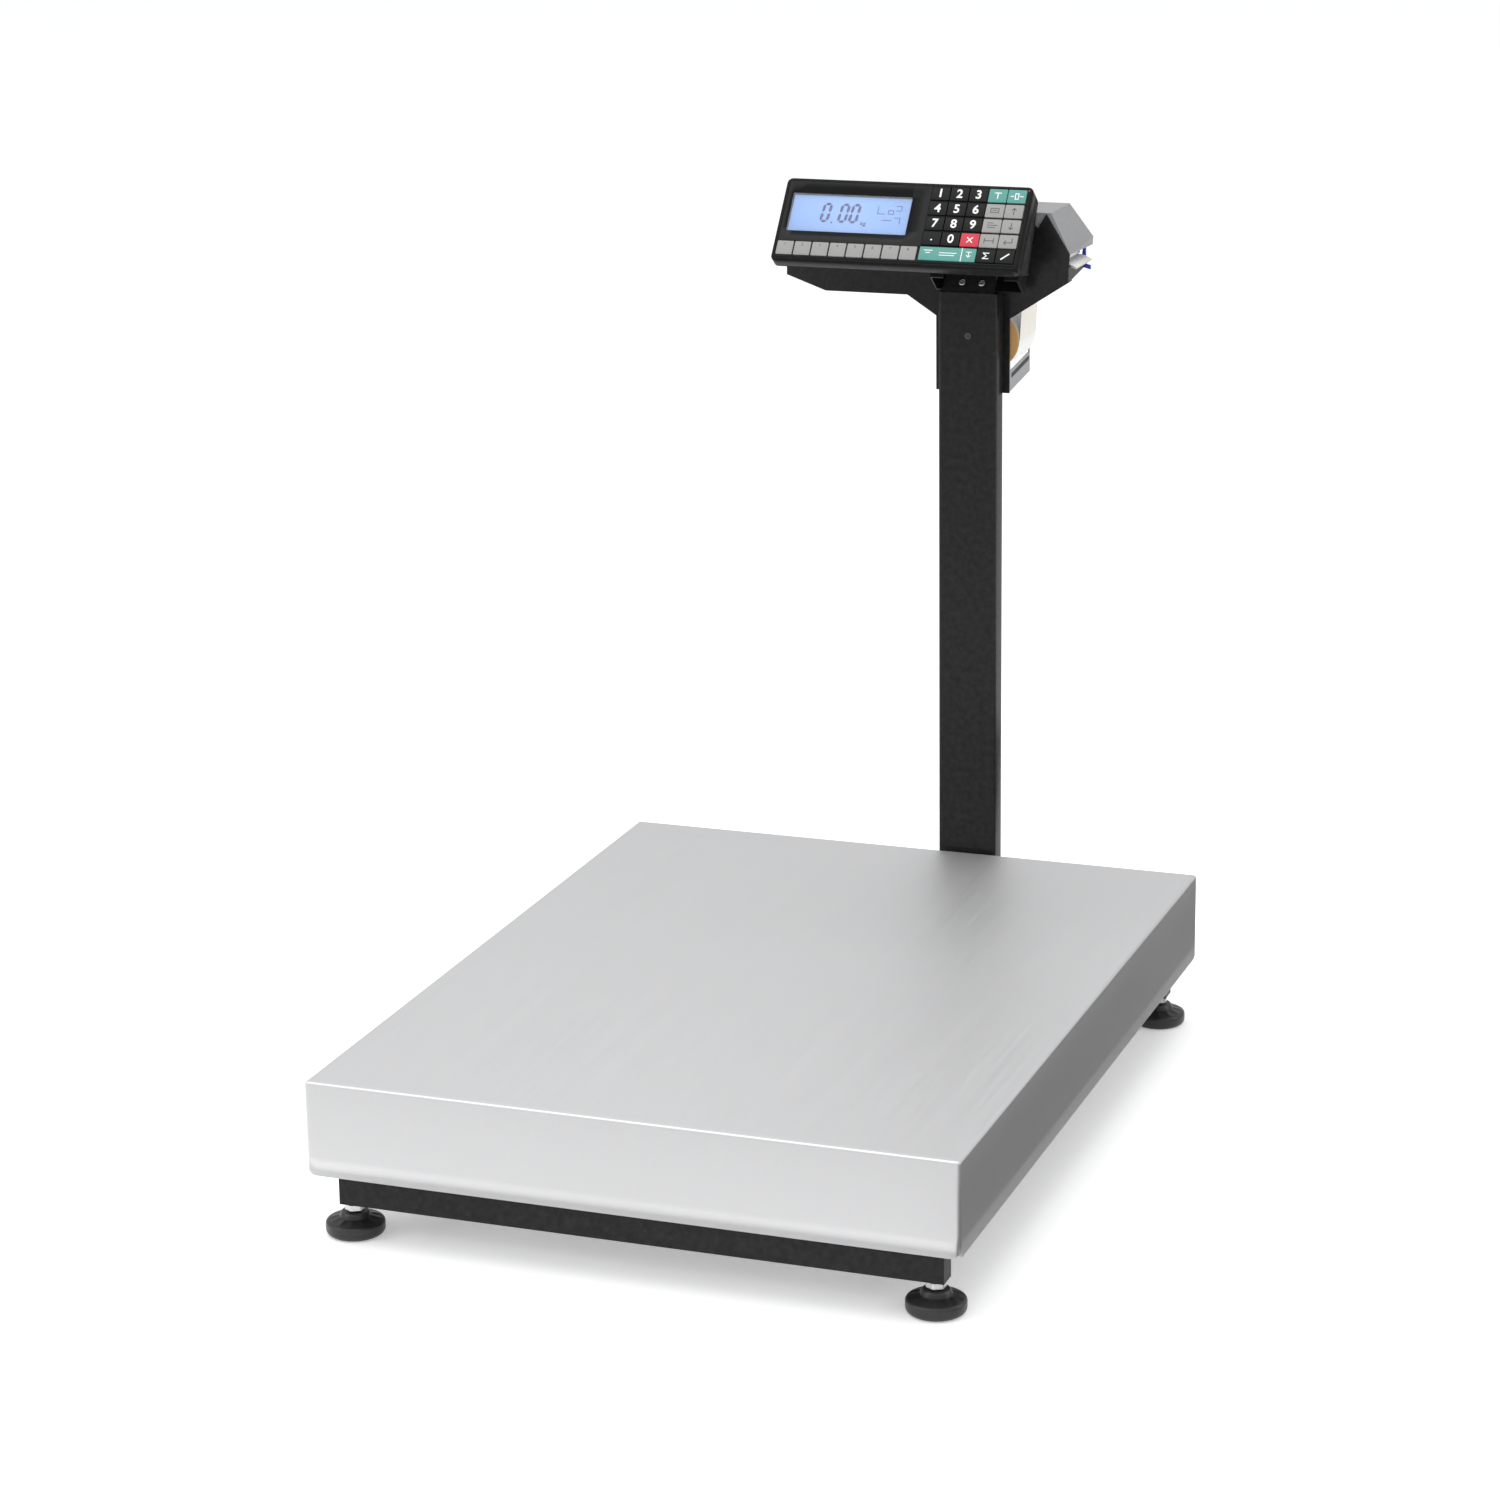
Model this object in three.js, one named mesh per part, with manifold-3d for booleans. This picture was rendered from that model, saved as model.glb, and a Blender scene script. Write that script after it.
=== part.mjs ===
// Floor-standing platform scale with a label printer on its column.
//
// Millimetres, +Z up, floor at Z = 0.  X runs left to right as the operator sees the scale, Y runs
// from the operator (front) to the column (back).  Everything is laid out from the centre of the
// platform and moved at the end so that the origin is under the middle of the whole object.

import * as THREE from "three";
import { mergeVertices } from "three/addons/utils/BufferGeometryUtils.js";
import Module from "manifold-3d";

// ---- driving dimensions ------------------------------------------------------------------------

const FIT_GAP = 0.3; // between pieces that touch

// Platform: a folded stainless pan that lifts off a carrier frame.
const PAN_WIDTH = 600;
const PAN_DEPTH = 800;
const PAN_SKIRT = 87;
const PAN_SHEET = 1.5;
const PAN_CORNER = 3;
const CARRIER_MARGIN = 8; // carrier frame inside the pan's walls
const CARRIER_BAR = 30;
const CARRIER_HEIGHT = 30;

// Single-point load cell between the two frames.
const CELL_LENGTH = 180;
const CELL_WIDTH = 50;
const CELL_HEIGHT = 40;
const CELL_EYE = 12; // radius of the two thinning holes
const CELL_EYE_PITCH = 40;
const CELL_PAD = 4; // welded pads that keep the cell's middle free
const CELL_BEAM = 60; // width of the cross beams that carry the cell

// Base frame and its levelling feet.
const BASE_INSET = 20; // base frame inside the pan's outline
const BASE_BAR = 20;
const BASE_HEIGHT = 40;
const BASE_RAIL_X = 200; // middle of the two rails that join the front and rear bars
const BASE_CLEARANCE = 29; // floor to the underside of the base frame
const FRAME_WALL = 2.5;
const FOOT_RADIUS = 26.5;
const FOOT_RIM = 10; // height of the widest part of the foot
const FOOT_BOSS_RADIUS = 14;
const FOOT_HEIGHT = 21;
const STUD_RADIUS = 5;
const STUD_LENGTH = 32; // above the foot's boss

// Column behind the platform.
const COLUMN_OFFSET = 56; // right of the platform's centre line
const COLUMN_GAP = 10; // behind the pan
const COLUMN_WIDTH = 60;
const COLUMN_DEPTH = 25;
const COLUMN_WALL = 2;
const COLUMN_CORNER = 3;
const COLUMN_TOP = 724;
const TAB_LENGTH = 33; // front wall folded back at the top
const BRACKET_HEIGHT = 28;

// Terminal, tilted back towards the operator.  Its face is laid out from the middle of the key panel.
const TILT = THREE.MathUtils.degToRad(38);
const TERMINAL_OFFSET = -5; // from the platform's centre line
const FACE_ABOVE_FOLD = 44.2; // along the face
const FACE_TO_TAB = 60; // square to the face
const CASE_WIDTH = 254;
const CASE_TOP = 43.5;
const CASE_BOTTOM = -49.5;
const CASE_CORNER = 6;
const CASE_WALL = 2.5;
const BEZEL_DEPTH = 12;
const CASE_DEPTH_BOTTOM = 38;
const CASE_DEPTH_TOP = 24;
const CASE_DRAFT = 16; // the bottom wall leans in by this much towards the back
const SADDLE_SHEET = 2;
const SADDLE_LOW = -40;
const SADDLE_HIGH = -13;
const SADDLE_LEFT = 22;
const SADDLE_RIGHT = 112;
const SADDLE_LIP = 14;
const INLET_AT = [-95, -26]; // on the back of the case, from the face's middle
const INLET_RADIUS = 6;
const INLET_BORE = 3;
const INLET_STAND = 3;

// Display and keys.
const WINDOW_CENTRE = [-55.4, 5.5];
const WINDOW_SIZE = [124, 42.4];
const WINDOW_SHEET = 1.5;
const LCD_DEPTH = 7;
const KEY_CLEARANCE = 0.15;
const KEY_RISE = 0.7;
const KEY_DEPTH = 3.2; // below the face
const KEY_SIZE = [18.8, 14.8];
const KEY_COLUMN = 34.4; // first column of the number block
const KEY_PITCH = [19.4, 16.6];
const KEY_ROW = 31.6; // top row
const F_KEY_SIZE = [17, 15];
const F_KEY_FIRST = -113.9;
const F_KEY_PITCH = 18.2;
const F_KEY_ROW = -35.3;
const F_KEY_COUNT = 8;
const PRINT_KEY_LEFT = 24.6;
const BOARD_SHEET = 1.6;
const BOARD_DROP = 6; // face to the circuit board
const BOARD_MARGIN = 6;

// Head frame: one upright sheet behind the column, with a tongue screwed to it.
const HEAD_SHEET = 2;
const TONGUE_LEFT = 40; // from the column's centre line
const TONGUE_RIGHT = 36;
const TONGUE_BOTTOM = COLUMN_TOP - 103.5;
const TONGUE_TOP = COLUMN_TOP - 29;
const ARM_SLOPE = THREE.MathUtils.degToRad(33);
const ARM_RIGHT = 96; // from the column's centre line
const ARM_LEFT = 197;
const ARM_LEFT_UNDER = COLUMN_TOP - 9.5;
const ARM_LEFT_CHAMFER = [41, 14.5];
const ARM_LEFT_TOP = COLUMN_TOP + 65;
const SIDE_WALL_TOP = COLUMN_TOP + 24.5;
const SIDE_WALL_RISE = 7; // its lower edge climbs towards the back
const EAR_APEX = [-4.5, -1]; // from the cover's shoulder
const EAR_NECK = [9, 15]; // left of and below the apex
const SHELF_START = 16; // right of the label roll
const SHELF_DEPTH = 16;

// Printer behind the right-hand side of the terminal.
const WEB_WIDTH = 58;
const WEB_SHEET = 0.4;
const WEB_SHIFT = 1.5; // web in front of the middle of the printer
const WEB_RUN = 3; // sideways drift of the rising web
const WEB_END = 23; // platen to the free end
const COVER_DEPTH = WEB_WIDTH + 8;
const COVER_LEFT = 22; // from the column's centre line
const COVER_SHOULDER = 77.5;
const COVER_RIGHT = 97;
const COVER_TOP = COLUMN_TOP + 77.5;
const COVER_LIP = COLUMN_TOP + 37.5;
const COVER_BROW = 8; // height of the cover's lower right edge band
const COVER_FLARE = 9; // how far that band swings out at the back
const COVER_UNDER = COLUMN_TOP + 28;
const COVER_EASE = 3; // small corner at the upper left
const COVER_WALL = 2.5;
const PIN_RADIUS = 2;
const PIN_INSET = 6; // hinge pin inside the cover's lower left corner
const PLATEN_X = 80; // from the column's centre line
const PLATEN_Z = COLUMN_TOP + 21.5;
const PLATEN_RADIUS = 7;
const PLATEN_SHAFT = 3;
const HEAD_BLOCK = [20, 6];
const MOTOR_RADIUS = 12;
const MOTOR_LENGTH = 20;
const MOTOR_X = 50;
const MOTOR_Z = COLUMN_TOP + 38;
const GEAR_SIDE = [1.2, 2.6]; // gears, past the web's back edge
const LEVER_SHEET = 3;
const LEVER_HUB = 6;
const LEVER_GRIP = [
  [0, -4],
  [16, -8],
  [20, -9],
  [20, -5],
  [14, -3],
  [15, 5],
  [15, 13],
  [12, 13],
  [11, 5],
  [0, 4],
]; // X, Z from the platen's axis

// Label roll behind the column.
const ROLL_X = 16; // from the column's centre line
const ROLL_Z = COLUMN_TOP - 51.5;
const ROLL_RADIUS = 28.5;
const CORE_RADIUS = 12.7;
const SPINDLE_CLEARANCE = 0.7;
const SPINDLE_COLLAR = 4;
const KEEPER_RADIUS = 20;
const KEEPER_SHEET = 2.5;
const GUARD_SHEET = 1.5;
const GUARD_HEIGHT = 20.5;
const GUARD_RISE = 8;
const GUARD_TAIL = 10; // past the web's back edge
const GUARD_POST = 2;
const GUARD_POST_HEIGHT = 10;

// ---- solids ------------------------------------------------------------------------------------

const wasm = await Module();
wasm.setup();

const ROUND_STEPS = 24;

function solid(geometry) {
  const bare = geometry.index ? geometry.toNonIndexed() : geometry.clone();
  bare.deleteAttribute("normal");
  bare.deleteAttribute("uv");
  const merged = mergeVertices(bare, 1e-4);
  return new wasm.Manifold(
    new wasm.Mesh({
      numProp: 3,
      vertProperties: new Float32Array(merged.attributes.position.array),
      triVerts: new Uint32Array(merged.index.array),
    }),
  );
}

function surface(body) {
  const mesh = body.getMesh();
  const geometry = new THREE.BufferGeometry();
  geometry.setAttribute("position", new THREE.BufferAttribute(mesh.vertProperties, 3));
  geometry.setIndex(new THREE.BufferAttribute(mesh.triVerts, 1));
  const flat = geometry.toNonIndexed();
  flat.computeVertexNormals();
  return flat;
}

// A block between two corners.
function block([x0, x1], [y0, y1], [z0, z1]) {
  const box = new THREE.BoxGeometry(x1 - x0, y1 - y0, z1 - z0);
  box.translate((x0 + x1) / 2, (y0 + y1) / 2, (z0 + z1) / 2);
  return solid(box);
}

function outline(points) {
  return new THREE.Shape(points.map(([a, b]) => new THREE.Vector2(a, b)));
}

function roundedOutline([a0, a1], [b0, b1], radius) {
  const shape = new THREE.Shape();
  shape.absarc(a1 - radius, b1 - radius, radius, 0, Math.PI / 2);
  shape.absarc(a0 + radius, b1 - radius, radius, Math.PI / 2, Math.PI);
  shape.absarc(a0 + radius, b0 + radius, radius, Math.PI, 1.5 * Math.PI);
  shape.absarc(a1 - radius, b0 + radius, radius, 1.5 * Math.PI, 2 * Math.PI);
  return shape;
}

function extrusion(shape, length) {
  return new THREE.ExtrudeGeometry(shape, { depth: length, bevelEnabled: false, curveSegments: 4 });
}

// An outline drawn in plan, standing from z0 to z1.
function upright(shape, [z0, z1]) {
  return solid(extrusion(shape, z1 - z0).translate(0, 0, z0));
}

// An outline drawn as seen from the front (X, Z), running back from y0 to y1.
function across(shape, [y0, y1]) {
  return solid(extrusion(shape, y1 - y0).rotateX(Math.PI / 2).translate(0, y1, 0));
}

// An outline drawn as seen from the right (Y, Z), running from x0 to x1.
function sideways(shape, [x0, x1]) {
  const turn = new THREE.Matrix4().makeBasis(
    new THREE.Vector3(0, 1, 0),
    new THREE.Vector3(0, 0, 1),
    new THREE.Vector3(1, 0, 0),
  );
  return solid(extrusion(shape, x1 - x0).applyMatrix4(turn).translate(x0, 0, 0));
}

// A round bar along X or Y between two ends.
function barX(radius, [x0, x1], y, z) {
  const bar = new THREE.CylinderGeometry(radius, radius, x1 - x0, ROUND_STEPS);
  return solid(bar.rotateZ(Math.PI / 2).translate((x0 + x1) / 2, y, z));
}

function barY(radius, [y0, y1], x, z) {
  const bar = new THREE.CylinderGeometry(radius, radius, y1 - y0, ROUND_STEPS);
  return solid(bar.translate(x, (y0 + y1) / 2, z));
}

function barZ(radius, [z0, z1], x, y) {
  const bar = new THREE.CylinderGeometry(radius, radius, z1 - z0, ROUND_STEPS);
  return solid(bar.rotateX(Math.PI / 2).translate(x, y, (z0 + z1) / 2));
}

const either = (centre, half) => [centre - half, centre + half];
const wallIn = ([a0, a1], inset) => [a0 + inset, a1 - inset];

// ---- finishes ----------------------------------------------------------------------------------

const FINISHES = {
  stainless: { color: 0xc8c9ca, roughness: 0.35, metalness: 1 },
  blackPaint: { color: 0x232425, roughness: 0.55, metalness: 0.1 },
  blackPlastic: { color: 0x1f2121, roughness: 0.5, metalness: 0 },
  rubber: { color: 0x1b1b1c, roughness: 0.8, metalness: 0 },
  aluminium: { color: 0xb9bcbe, roughness: 0.45, metalness: 1 },
  zinc: { color: 0x9a9b9c, roughness: 0.4, metalness: 1 },
  greyPlastic: { color: 0xa2a4a5, roughness: 0.55, metalness: 0 },
  bluePlastic: { color: 0x2b36a8, roughness: 0.45, metalness: 0 },
  clear: { color: 0x9cc0ee, roughness: 0.1, metalness: 0 },
  lcd: { color: 0x9bbcf0, roughness: 0.4, metalness: 0 },
  board: { color: 0x1d5a35, roughness: 0.6, metalness: 0 },
  greyKey: { color: 0xafafac, roughness: 0.5, metalness: 0 },
  greenKey: { color: 0x64beaa, roughness: 0.5, metalness: 0 },
  redKey: { color: 0xe13c4b, roughness: 0.5, metalness: 0 },
  blackKey: { color: 0x212323, roughness: 0.5, metalness: 0 },
  paper: { color: 0xf1f0ec, roughness: 0.8, metalness: 0 },
};

function piece(name, body, finish) {
  const mesh = new THREE.Mesh(surface(body), new THREE.MeshStandardMaterial(FINISHES[finish]));
  mesh.name = name;
  return mesh;
}

// ---- heights that follow from the stack of pieces -----------------------------------------------

const baseTop = BASE_CLEARANCE + BASE_HEIGHT;
const cellBottom = baseTop + CELL_PAD + FIT_GAP;
const cellTop = cellBottom + CELL_HEIGHT;
const carrierBottom = cellTop + FIT_GAP + CELL_PAD;
const carrierTop = carrierBottom + CARRIER_HEIGHT;
const panTop = carrierTop + FIT_GAP + PAN_SHEET;

const platform = new THREE.Group();

// ---- platform pan -------------------------------------------------------------------------------

{
  const outer = roundedOutline(either(0, PAN_WIDTH / 2), either(0, PAN_DEPTH / 2), PAN_CORNER);
  const innerCorner = PAN_CORNER - PAN_SHEET;
  const inner = roundedOutline(
    either(0, PAN_WIDTH / 2 - PAN_SHEET),
    either(0, PAN_DEPTH / 2 - PAN_SHEET),
    innerCorner,
  );
  const hollow = upright(inner, [panTop - PAN_SKIRT - 1, panTop - PAN_SHEET]);
  const pan = upright(outer, [panTop - PAN_SKIRT, panTop]).subtract(hollow);
  platform.add(piece("platform_cover", pan, "stainless"));
}

// ---- frames of downward-open channel ------------------------------------------------------------

// Two end bars along X, two rails along Y and one cross beam, all channel open downwards, with solid
// ends.  railX is the middle of a rail, beamY the middle of the beam, and padZ the height range of
// the beam's solid middle, which stands proud by the pad that takes the load cell.
function channelFrame(halfWidth, halfDepth, bar, railX, [z0, z1], beamY, padZ) {
  const innerY = halfDepth - bar;
  const hollowZ = [z0 - 1, z1 - FRAME_WALL];
  const barHalf = bar / 2 - FRAME_WALL;
  const beamHalf = railX - bar / 2;
  let frame = block(either(0, railX), either(beamY, CELL_BEAM / 2), [z0, z1]);
  frame = frame.add(block(either(0, CELL_WIDTH / 2), either(beamY, CELL_BEAM / 2), padZ));
  for (const side of [-1, 1]) {
    frame = frame.add(block(either(side * railX, bar / 2), either(0, innerY + 1), [z0, z1]));
    frame = frame.add(block(either(0, halfWidth), either(side * (innerY + bar / 2), bar / 2), [z0, z1]));
  }
  for (const side of [-1, 1]) {
    const beamX = either((side * (beamHalf + CELL_WIDTH / 2)) / 2, (beamHalf - CELL_WIDTH / 2) / 2);
    const beamHollow = either(beamY, CELL_BEAM / 2 - FRAME_WALL);
    const endHollow = either(side * (innerY + bar / 2), barHalf);
    frame = frame.subtract(block(either(side * railX, barHalf), either(0, innerY), hollowZ));
    frame = frame.subtract(block(either(0, halfWidth - bar), endHollow, hollowZ));
    frame = frame.subtract(block(beamX, beamHollow, hollowZ));
  }
  return frame;
}

const beamOffset = (CELL_LENGTH - CELL_BEAM) / 2;

{
  const halfWidth = PAN_WIDTH / 2 - PAN_SHEET - CARRIER_MARGIN;
  const halfDepth = PAN_DEPTH / 2 - PAN_SHEET - CARRIER_MARGIN;
  const padZ = [carrierBottom - CELL_PAD, carrierTop];
  const carrier = channelFrame(
    halfWidth,
    halfDepth,
    CARRIER_BAR,
    halfWidth - CARRIER_BAR / 2,
    [carrierBottom, carrierTop],
    beamOffset,
    padZ,
  );
  platform.add(piece("load_frame", carrier, "blackPaint"));
}

// ---- load cell ----------------------------------------------------------------------------------

{
  const cellX = either(0, CELL_WIDTH / 2 + 1);
  const middleZ = (cellBottom + cellTop) / 2;
  let cell = block(either(0, CELL_WIDTH / 2), either(0, CELL_LENGTH / 2), [cellBottom, cellTop]);
  for (const side of [-1, 1])
    cell = cell.subtract(barX(CELL_EYE, cellX, (side * CELL_EYE_PITCH) / 2, middleZ));
  const slot = block(cellX, either(0, CELL_EYE_PITCH / 2), either(middleZ, CELL_EYE / 3));
  platform.add(piece("load_cell", cell.subtract(slot), "aluminium"));
}

// ---- base frame and feet ------------------------------------------------------------------------

const baseHalfX = PAN_WIDTH / 2 - BASE_INSET;
const baseHalfY = PAN_DEPTH / 2 - BASE_INSET;
const footX = baseHalfX - BASE_BAR / 2;
const footY = baseHalfY - BASE_BAR / 2;

{
  let base = channelFrame(
    baseHalfX,
    baseHalfY,
    BASE_BAR,
    BASE_RAIL_X,
    [BASE_CLEARANCE, baseTop],
    -beamOffset,
    [BASE_CLEARANCE, baseTop + CELL_PAD],
  );
  for (const x of [-footX, footX])
    for (const y of [-footY, footY]) {
      const stud = barZ(STUD_RADIUS + FIT_GAP, [BASE_CLEARANCE - 1, baseTop - FRAME_WALL], x, y);
      base = base.subtract(stud);
    }
  platform.add(piece("base_frame", base, "blackPaint"));
}

// Foot: a round pad with a dished rim, a conical boss and a threaded stud, turned about one axis.
function foot(name, x, y) {
  const rimArc = new THREE.EllipseCurve(
    FOOT_RADIUS * 0.72,
    FOOT_RIM,
    FOOT_RADIUS * 0.28,
    FOOT_RIM,
    -Math.PI / 2,
    Math.PI / 3,
  );
  const profile = [
    new THREE.Vector2(0, 0),
    ...rimArc.getPoints(6).map((p) => new THREE.Vector2(p.x, Math.max(p.y, 0))),
    new THREE.Vector2(FOOT_BOSS_RADIUS, FOOT_HEIGHT),
    new THREE.Vector2(STUD_RADIUS, FOOT_HEIGHT),
    new THREE.Vector2(STUD_RADIUS, FOOT_HEIGHT + STUD_LENGTH),
    new THREE.Vector2(0, FOOT_HEIGHT + STUD_LENGTH),
  ];
  const turned = new THREE.LatheGeometry(profile, ROUND_STEPS).rotateX(Math.PI / 2);
  return piece(name, solid(turned.translate(x, y, 0)), "rubber");
}

platform.add(foot("foot_front_left", -footX, -footY));
platform.add(foot("foot_front_right", footX, -footY));
platform.add(foot("foot_back_left", -footX, footY));
platform.add(foot("foot_back_right", footX, footY));

// ---- column -------------------------------------------------------------------------------------

const columnFront = PAN_DEPTH / 2 + COLUMN_GAP;
const columnBack = columnFront + COLUMN_DEPTH;
const columnX = either(COLUMN_OFFSET, COLUMN_WIDTH / 2);

{
  const reach = [baseHalfY + FIT_GAP, columnFront - FIT_GAP];
  const bracketTop = BASE_CLEARANCE + BRACKET_HEIGHT;
  const arm = block(columnX, reach, [BASE_CLEARANCE, bracketTop]);
  const hollowX = either(COLUMN_OFFSET, COLUMN_WIDTH / 2 - FRAME_WALL);
  const hollowY = [reach[0] + FRAME_WALL, reach[1] - FRAME_WALL];
  const hollow = block(hollowX, hollowY, [BASE_CLEARANCE - 1, bracketTop - FRAME_WALL]);
  platform.add(piece("column_bracket", arm.subtract(hollow), "blackPaint"));
}

// The column's front wall runs on past the open top and leans back as a tab, square to the terminal.
{
  const columnY = [columnFront, columnBack];
  const columnZ = [BASE_CLEARANCE, COLUMN_TOP];
  const tube = upright(roundedOutline(columnX, columnY, COLUMN_CORNER), columnZ);
  const bore = upright(
    roundedOutline(
      either(COLUMN_OFFSET, COLUMN_WIDTH / 2 - COLUMN_WALL),
      [columnFront + COLUMN_WALL, columnBack - COLUMN_WALL],
      COLUMN_CORNER - COLUMN_WALL,
    ),
    [BASE_CLEARANCE - 1, COLUMN_TOP + 1],
  );
  const lean = [Math.sin(TILT), Math.cos(TILT)];
  const inward = [Math.cos(TILT), -Math.sin(TILT)];
  const along = (s, t) => [
    columnFront + s * lean[0] + t * inward[0],
    COLUMN_TOP + s * lean[1] + t * inward[1],
  ];
  const rootS = (COLUMN_WALL * (1 - inward[0])) / lean[0];
  const tabProfile = outline([
    [columnFront, COLUMN_TOP - 2 * COLUMN_WALL],
    [columnFront + COLUMN_WALL, COLUMN_TOP - 2 * COLUMN_WALL],
    along(rootS, COLUMN_WALL),
    along(TAB_LENGTH, COLUMN_WALL),
    along(TAB_LENGTH, 0),
    [columnFront, COLUMN_TOP],
  ]);
  const tab = sideways(tabProfile, either(COLUMN_OFFSET, COLUMN_WIDTH / 2 - COLUMN_CORNER));
  platform.add(piece("column", tube.subtract(bore).add(tab), "blackPaint"));
}

// ---- head frame: an upright sheet with a tongue, two sloping arms and a side wall ---------------

const headY = [columnBack + FIT_GAP, columnBack + FIT_GAP + HEAD_SHEET];
const bayY = [headY[1] + FIT_GAP, headY[1] + FIT_GAP + COVER_DEPTH];
const fromColumn = (x) => COLUMN_OFFSET + x;
const coverLeft = fromColumn(COVER_LEFT);
const coverShoulder = fromColumn(COVER_SHOULDER);
const coverRight = fromColumn(COVER_RIGHT);
const webMiddle = (bayY[0] + bayY[1]) / 2 - WEB_SHIFT;
const webY = either(webMiddle, WEB_WIDTH / 2);

{
  const tongueLeft = fromColumn(-TONGUE_LEFT);
  const tongueRight = fromColumn(TONGUE_RIGHT);
  const right = fromColumn(ARM_RIGHT);
  const left = fromColumn(-ARM_LEFT);
  const underRight = TONGUE_TOP + (right - tongueRight) * Math.tan(ARM_SLOPE);
  const slopeLeft = tongueLeft - (ARM_LEFT_UNDER - TONGUE_TOP) / Math.tan(ARM_SLOPE);
  const earApex = [coverShoulder + EAR_APEX[0], COVER_TOP + EAR_APEX[1]];
  const neckX = earApex[0] - EAR_NECK[0];
  const sheet = outline([
    [tongueLeft, TONGUE_BOTTOM],
    [tongueRight, TONGUE_BOTTOM],
    [tongueRight, TONGUE_TOP],
    [right, underRight],
    [right, SIDE_WALL_TOP],
    [coverRight, COVER_LIP],
    earApex,
    [neckX, earApex[1] - EAR_NECK[1]],
    [neckX - HEAD_SHEET, ARM_LEFT_TOP],
    [left, ARM_LEFT_TOP],
    [left, ARM_LEFT_UNDER + ARM_LEFT_CHAMFER[1]],
    [left + ARM_LEFT_CHAMFER[0], ARM_LEFT_UNDER],
    [slopeLeft, ARM_LEFT_UNDER],
    [tongueLeft, TONGUE_TOP],
  ]);
  const wallBack = webY[1] + FIT_GAP;
  const wallOutline = outline([
    [headY[0], underRight],
    [headY[1], underRight],
    [wallBack, underRight + SIDE_WALL_RISE],
    [wallBack, SIDE_WALL_TOP],
    [headY[0], SIDE_WALL_TOP],
  ]);
  const wall = sideways(wallOutline, [right - HEAD_SHEET, right]);
  const shelfX = [fromColumn(ROLL_X) + ROLL_RADIUS + SHELF_START, right - HEAD_SHEET / 2];
  const shelfZ = (x) => TONGUE_TOP + (x - tongueRight) * Math.tan(ARM_SLOPE);
  const shelf = across(
    outline([
      [shelfX[0], shelfZ(shelfX[0])],
      [shelfX[1], shelfZ(shelfX[1])],
      [shelfX[1], shelfZ(shelfX[1]) + HEAD_SHEET],
      [shelfX[0], shelfZ(shelfX[0]) + HEAD_SHEET],
    ]),
    [headY[0], headY[0] + SHELF_DEPTH],
  );
  const frame = across(sheet, headY).add(wall).add(shelf);
  platform.add(piece("head_frame", frame, "blackPaint"));
}

// ---- printer ------------------------------------------------------------------------------------

const platenX = fromColumn(PLATEN_X);
const webOverPlaten = PLATEN_Z + PLATEN_RADIUS + FIT_GAP;

// Roof-shaped cover, open below, hinged along its left end.  Its right-hand slope swings outwards
// towards the back: every point moves right by the flare times its share of the depth and its drop
// below the shoulder, and the band under the brow comes half way back in.
{
  const w = COVER_WALL;
  const browZ = COVER_LIP + COVER_BROW;
  const slopeX = (z) =>
    coverShoulder + ((coverRight - coverShoulder) * (COVER_TOP - z)) / (COVER_TOP - COVER_LIP);
  const outer = [
    [coverLeft, COVER_UNDER],
    [coverLeft, COVER_TOP - COVER_EASE],
    [coverLeft + COVER_EASE, COVER_TOP],
    [coverShoulder, COVER_TOP],
    [slopeX(browZ), browZ],
    [coverRight, COVER_LIP],
    [coverRight - COVER_BROW, COVER_LIP - COVER_EASE],
    [coverShoulder - PIN_INSET, COVER_UNDER],
  ];
  const inner = [
    [coverLeft + w, COVER_UNDER - 1],
    [coverLeft + w, COVER_TOP - COVER_EASE - w / 2],
    [coverLeft + COVER_EASE + w / 2, COVER_TOP - w],
    [coverShoulder - w / 2, COVER_TOP - w],
    [slopeX(browZ) - w, browZ],
    [coverRight - w, COVER_LIP - 1],
    [coverRight - w, COVER_UNDER - 1],
  ];
  const share = (z) =>
    z > browZ ? (COVER_TOP - z) / (COVER_TOP - browZ) : 1 - (browZ - z) / (2 * COVER_BROW);
  const flared = (points, [y0, y1]) => {
    const shell = extrusion(outline(points), y1 - y0).rotateX(Math.PI / 2).translate(0, y1, 0);
    const at = shell.attributes.position;
    for (let i = 0; i < at.count; i++) {
      const z = at.getZ(i);
      const depth = (at.getY(i) - bayY[0]) / COVER_DEPTH;
      const right = at.getX(i) > coverShoulder && z >= COVER_LIP - 1;
      if (right) at.setX(i, at.getX(i) + COVER_FLARE * depth * Math.max(share(z), 0));
    }
    return solid(shell);
  };
  const hollow = flared(inner, [bayY[0] + w, bayY[1] - w]);
  const pinX = coverLeft + PIN_INSET;
  const pinZ = COVER_UNDER + PIN_INSET;
  const eyes = barY(PIN_RADIUS + FIT_GAP, [bayY[0] - 1, bayY[1] + 1], pinX, pinZ);
  const cover = flared(outer, bayY).subtract(hollow).subtract(eyes);
  platform.add(piece("printer_cover", cover, "greyPlastic"));
  platform.add(piece("cover_pin", barY(PIN_RADIUS, bayY, pinX, pinZ), "zinc"));
}

// Rubber platen roller on its shaft, with the drive gear at the back end.
{
  const gearY = GEAR_SIDE.map((y) => webY[1] + y);
  const roller = barY(PLATEN_RADIUS, wallIn(webY, 1), platenX, PLATEN_Z);
  const shaft = barY(PLATEN_SHAFT, [webY[0] - 1, gearY[1]], platenX, PLATEN_Z);
  const gear = barY(PLATEN_RADIUS - 1, gearY, platenX, PLATEN_Z);
  platform.add(piece("platen_roller", roller.add(shaft).add(gear), "rubber"));
}

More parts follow.
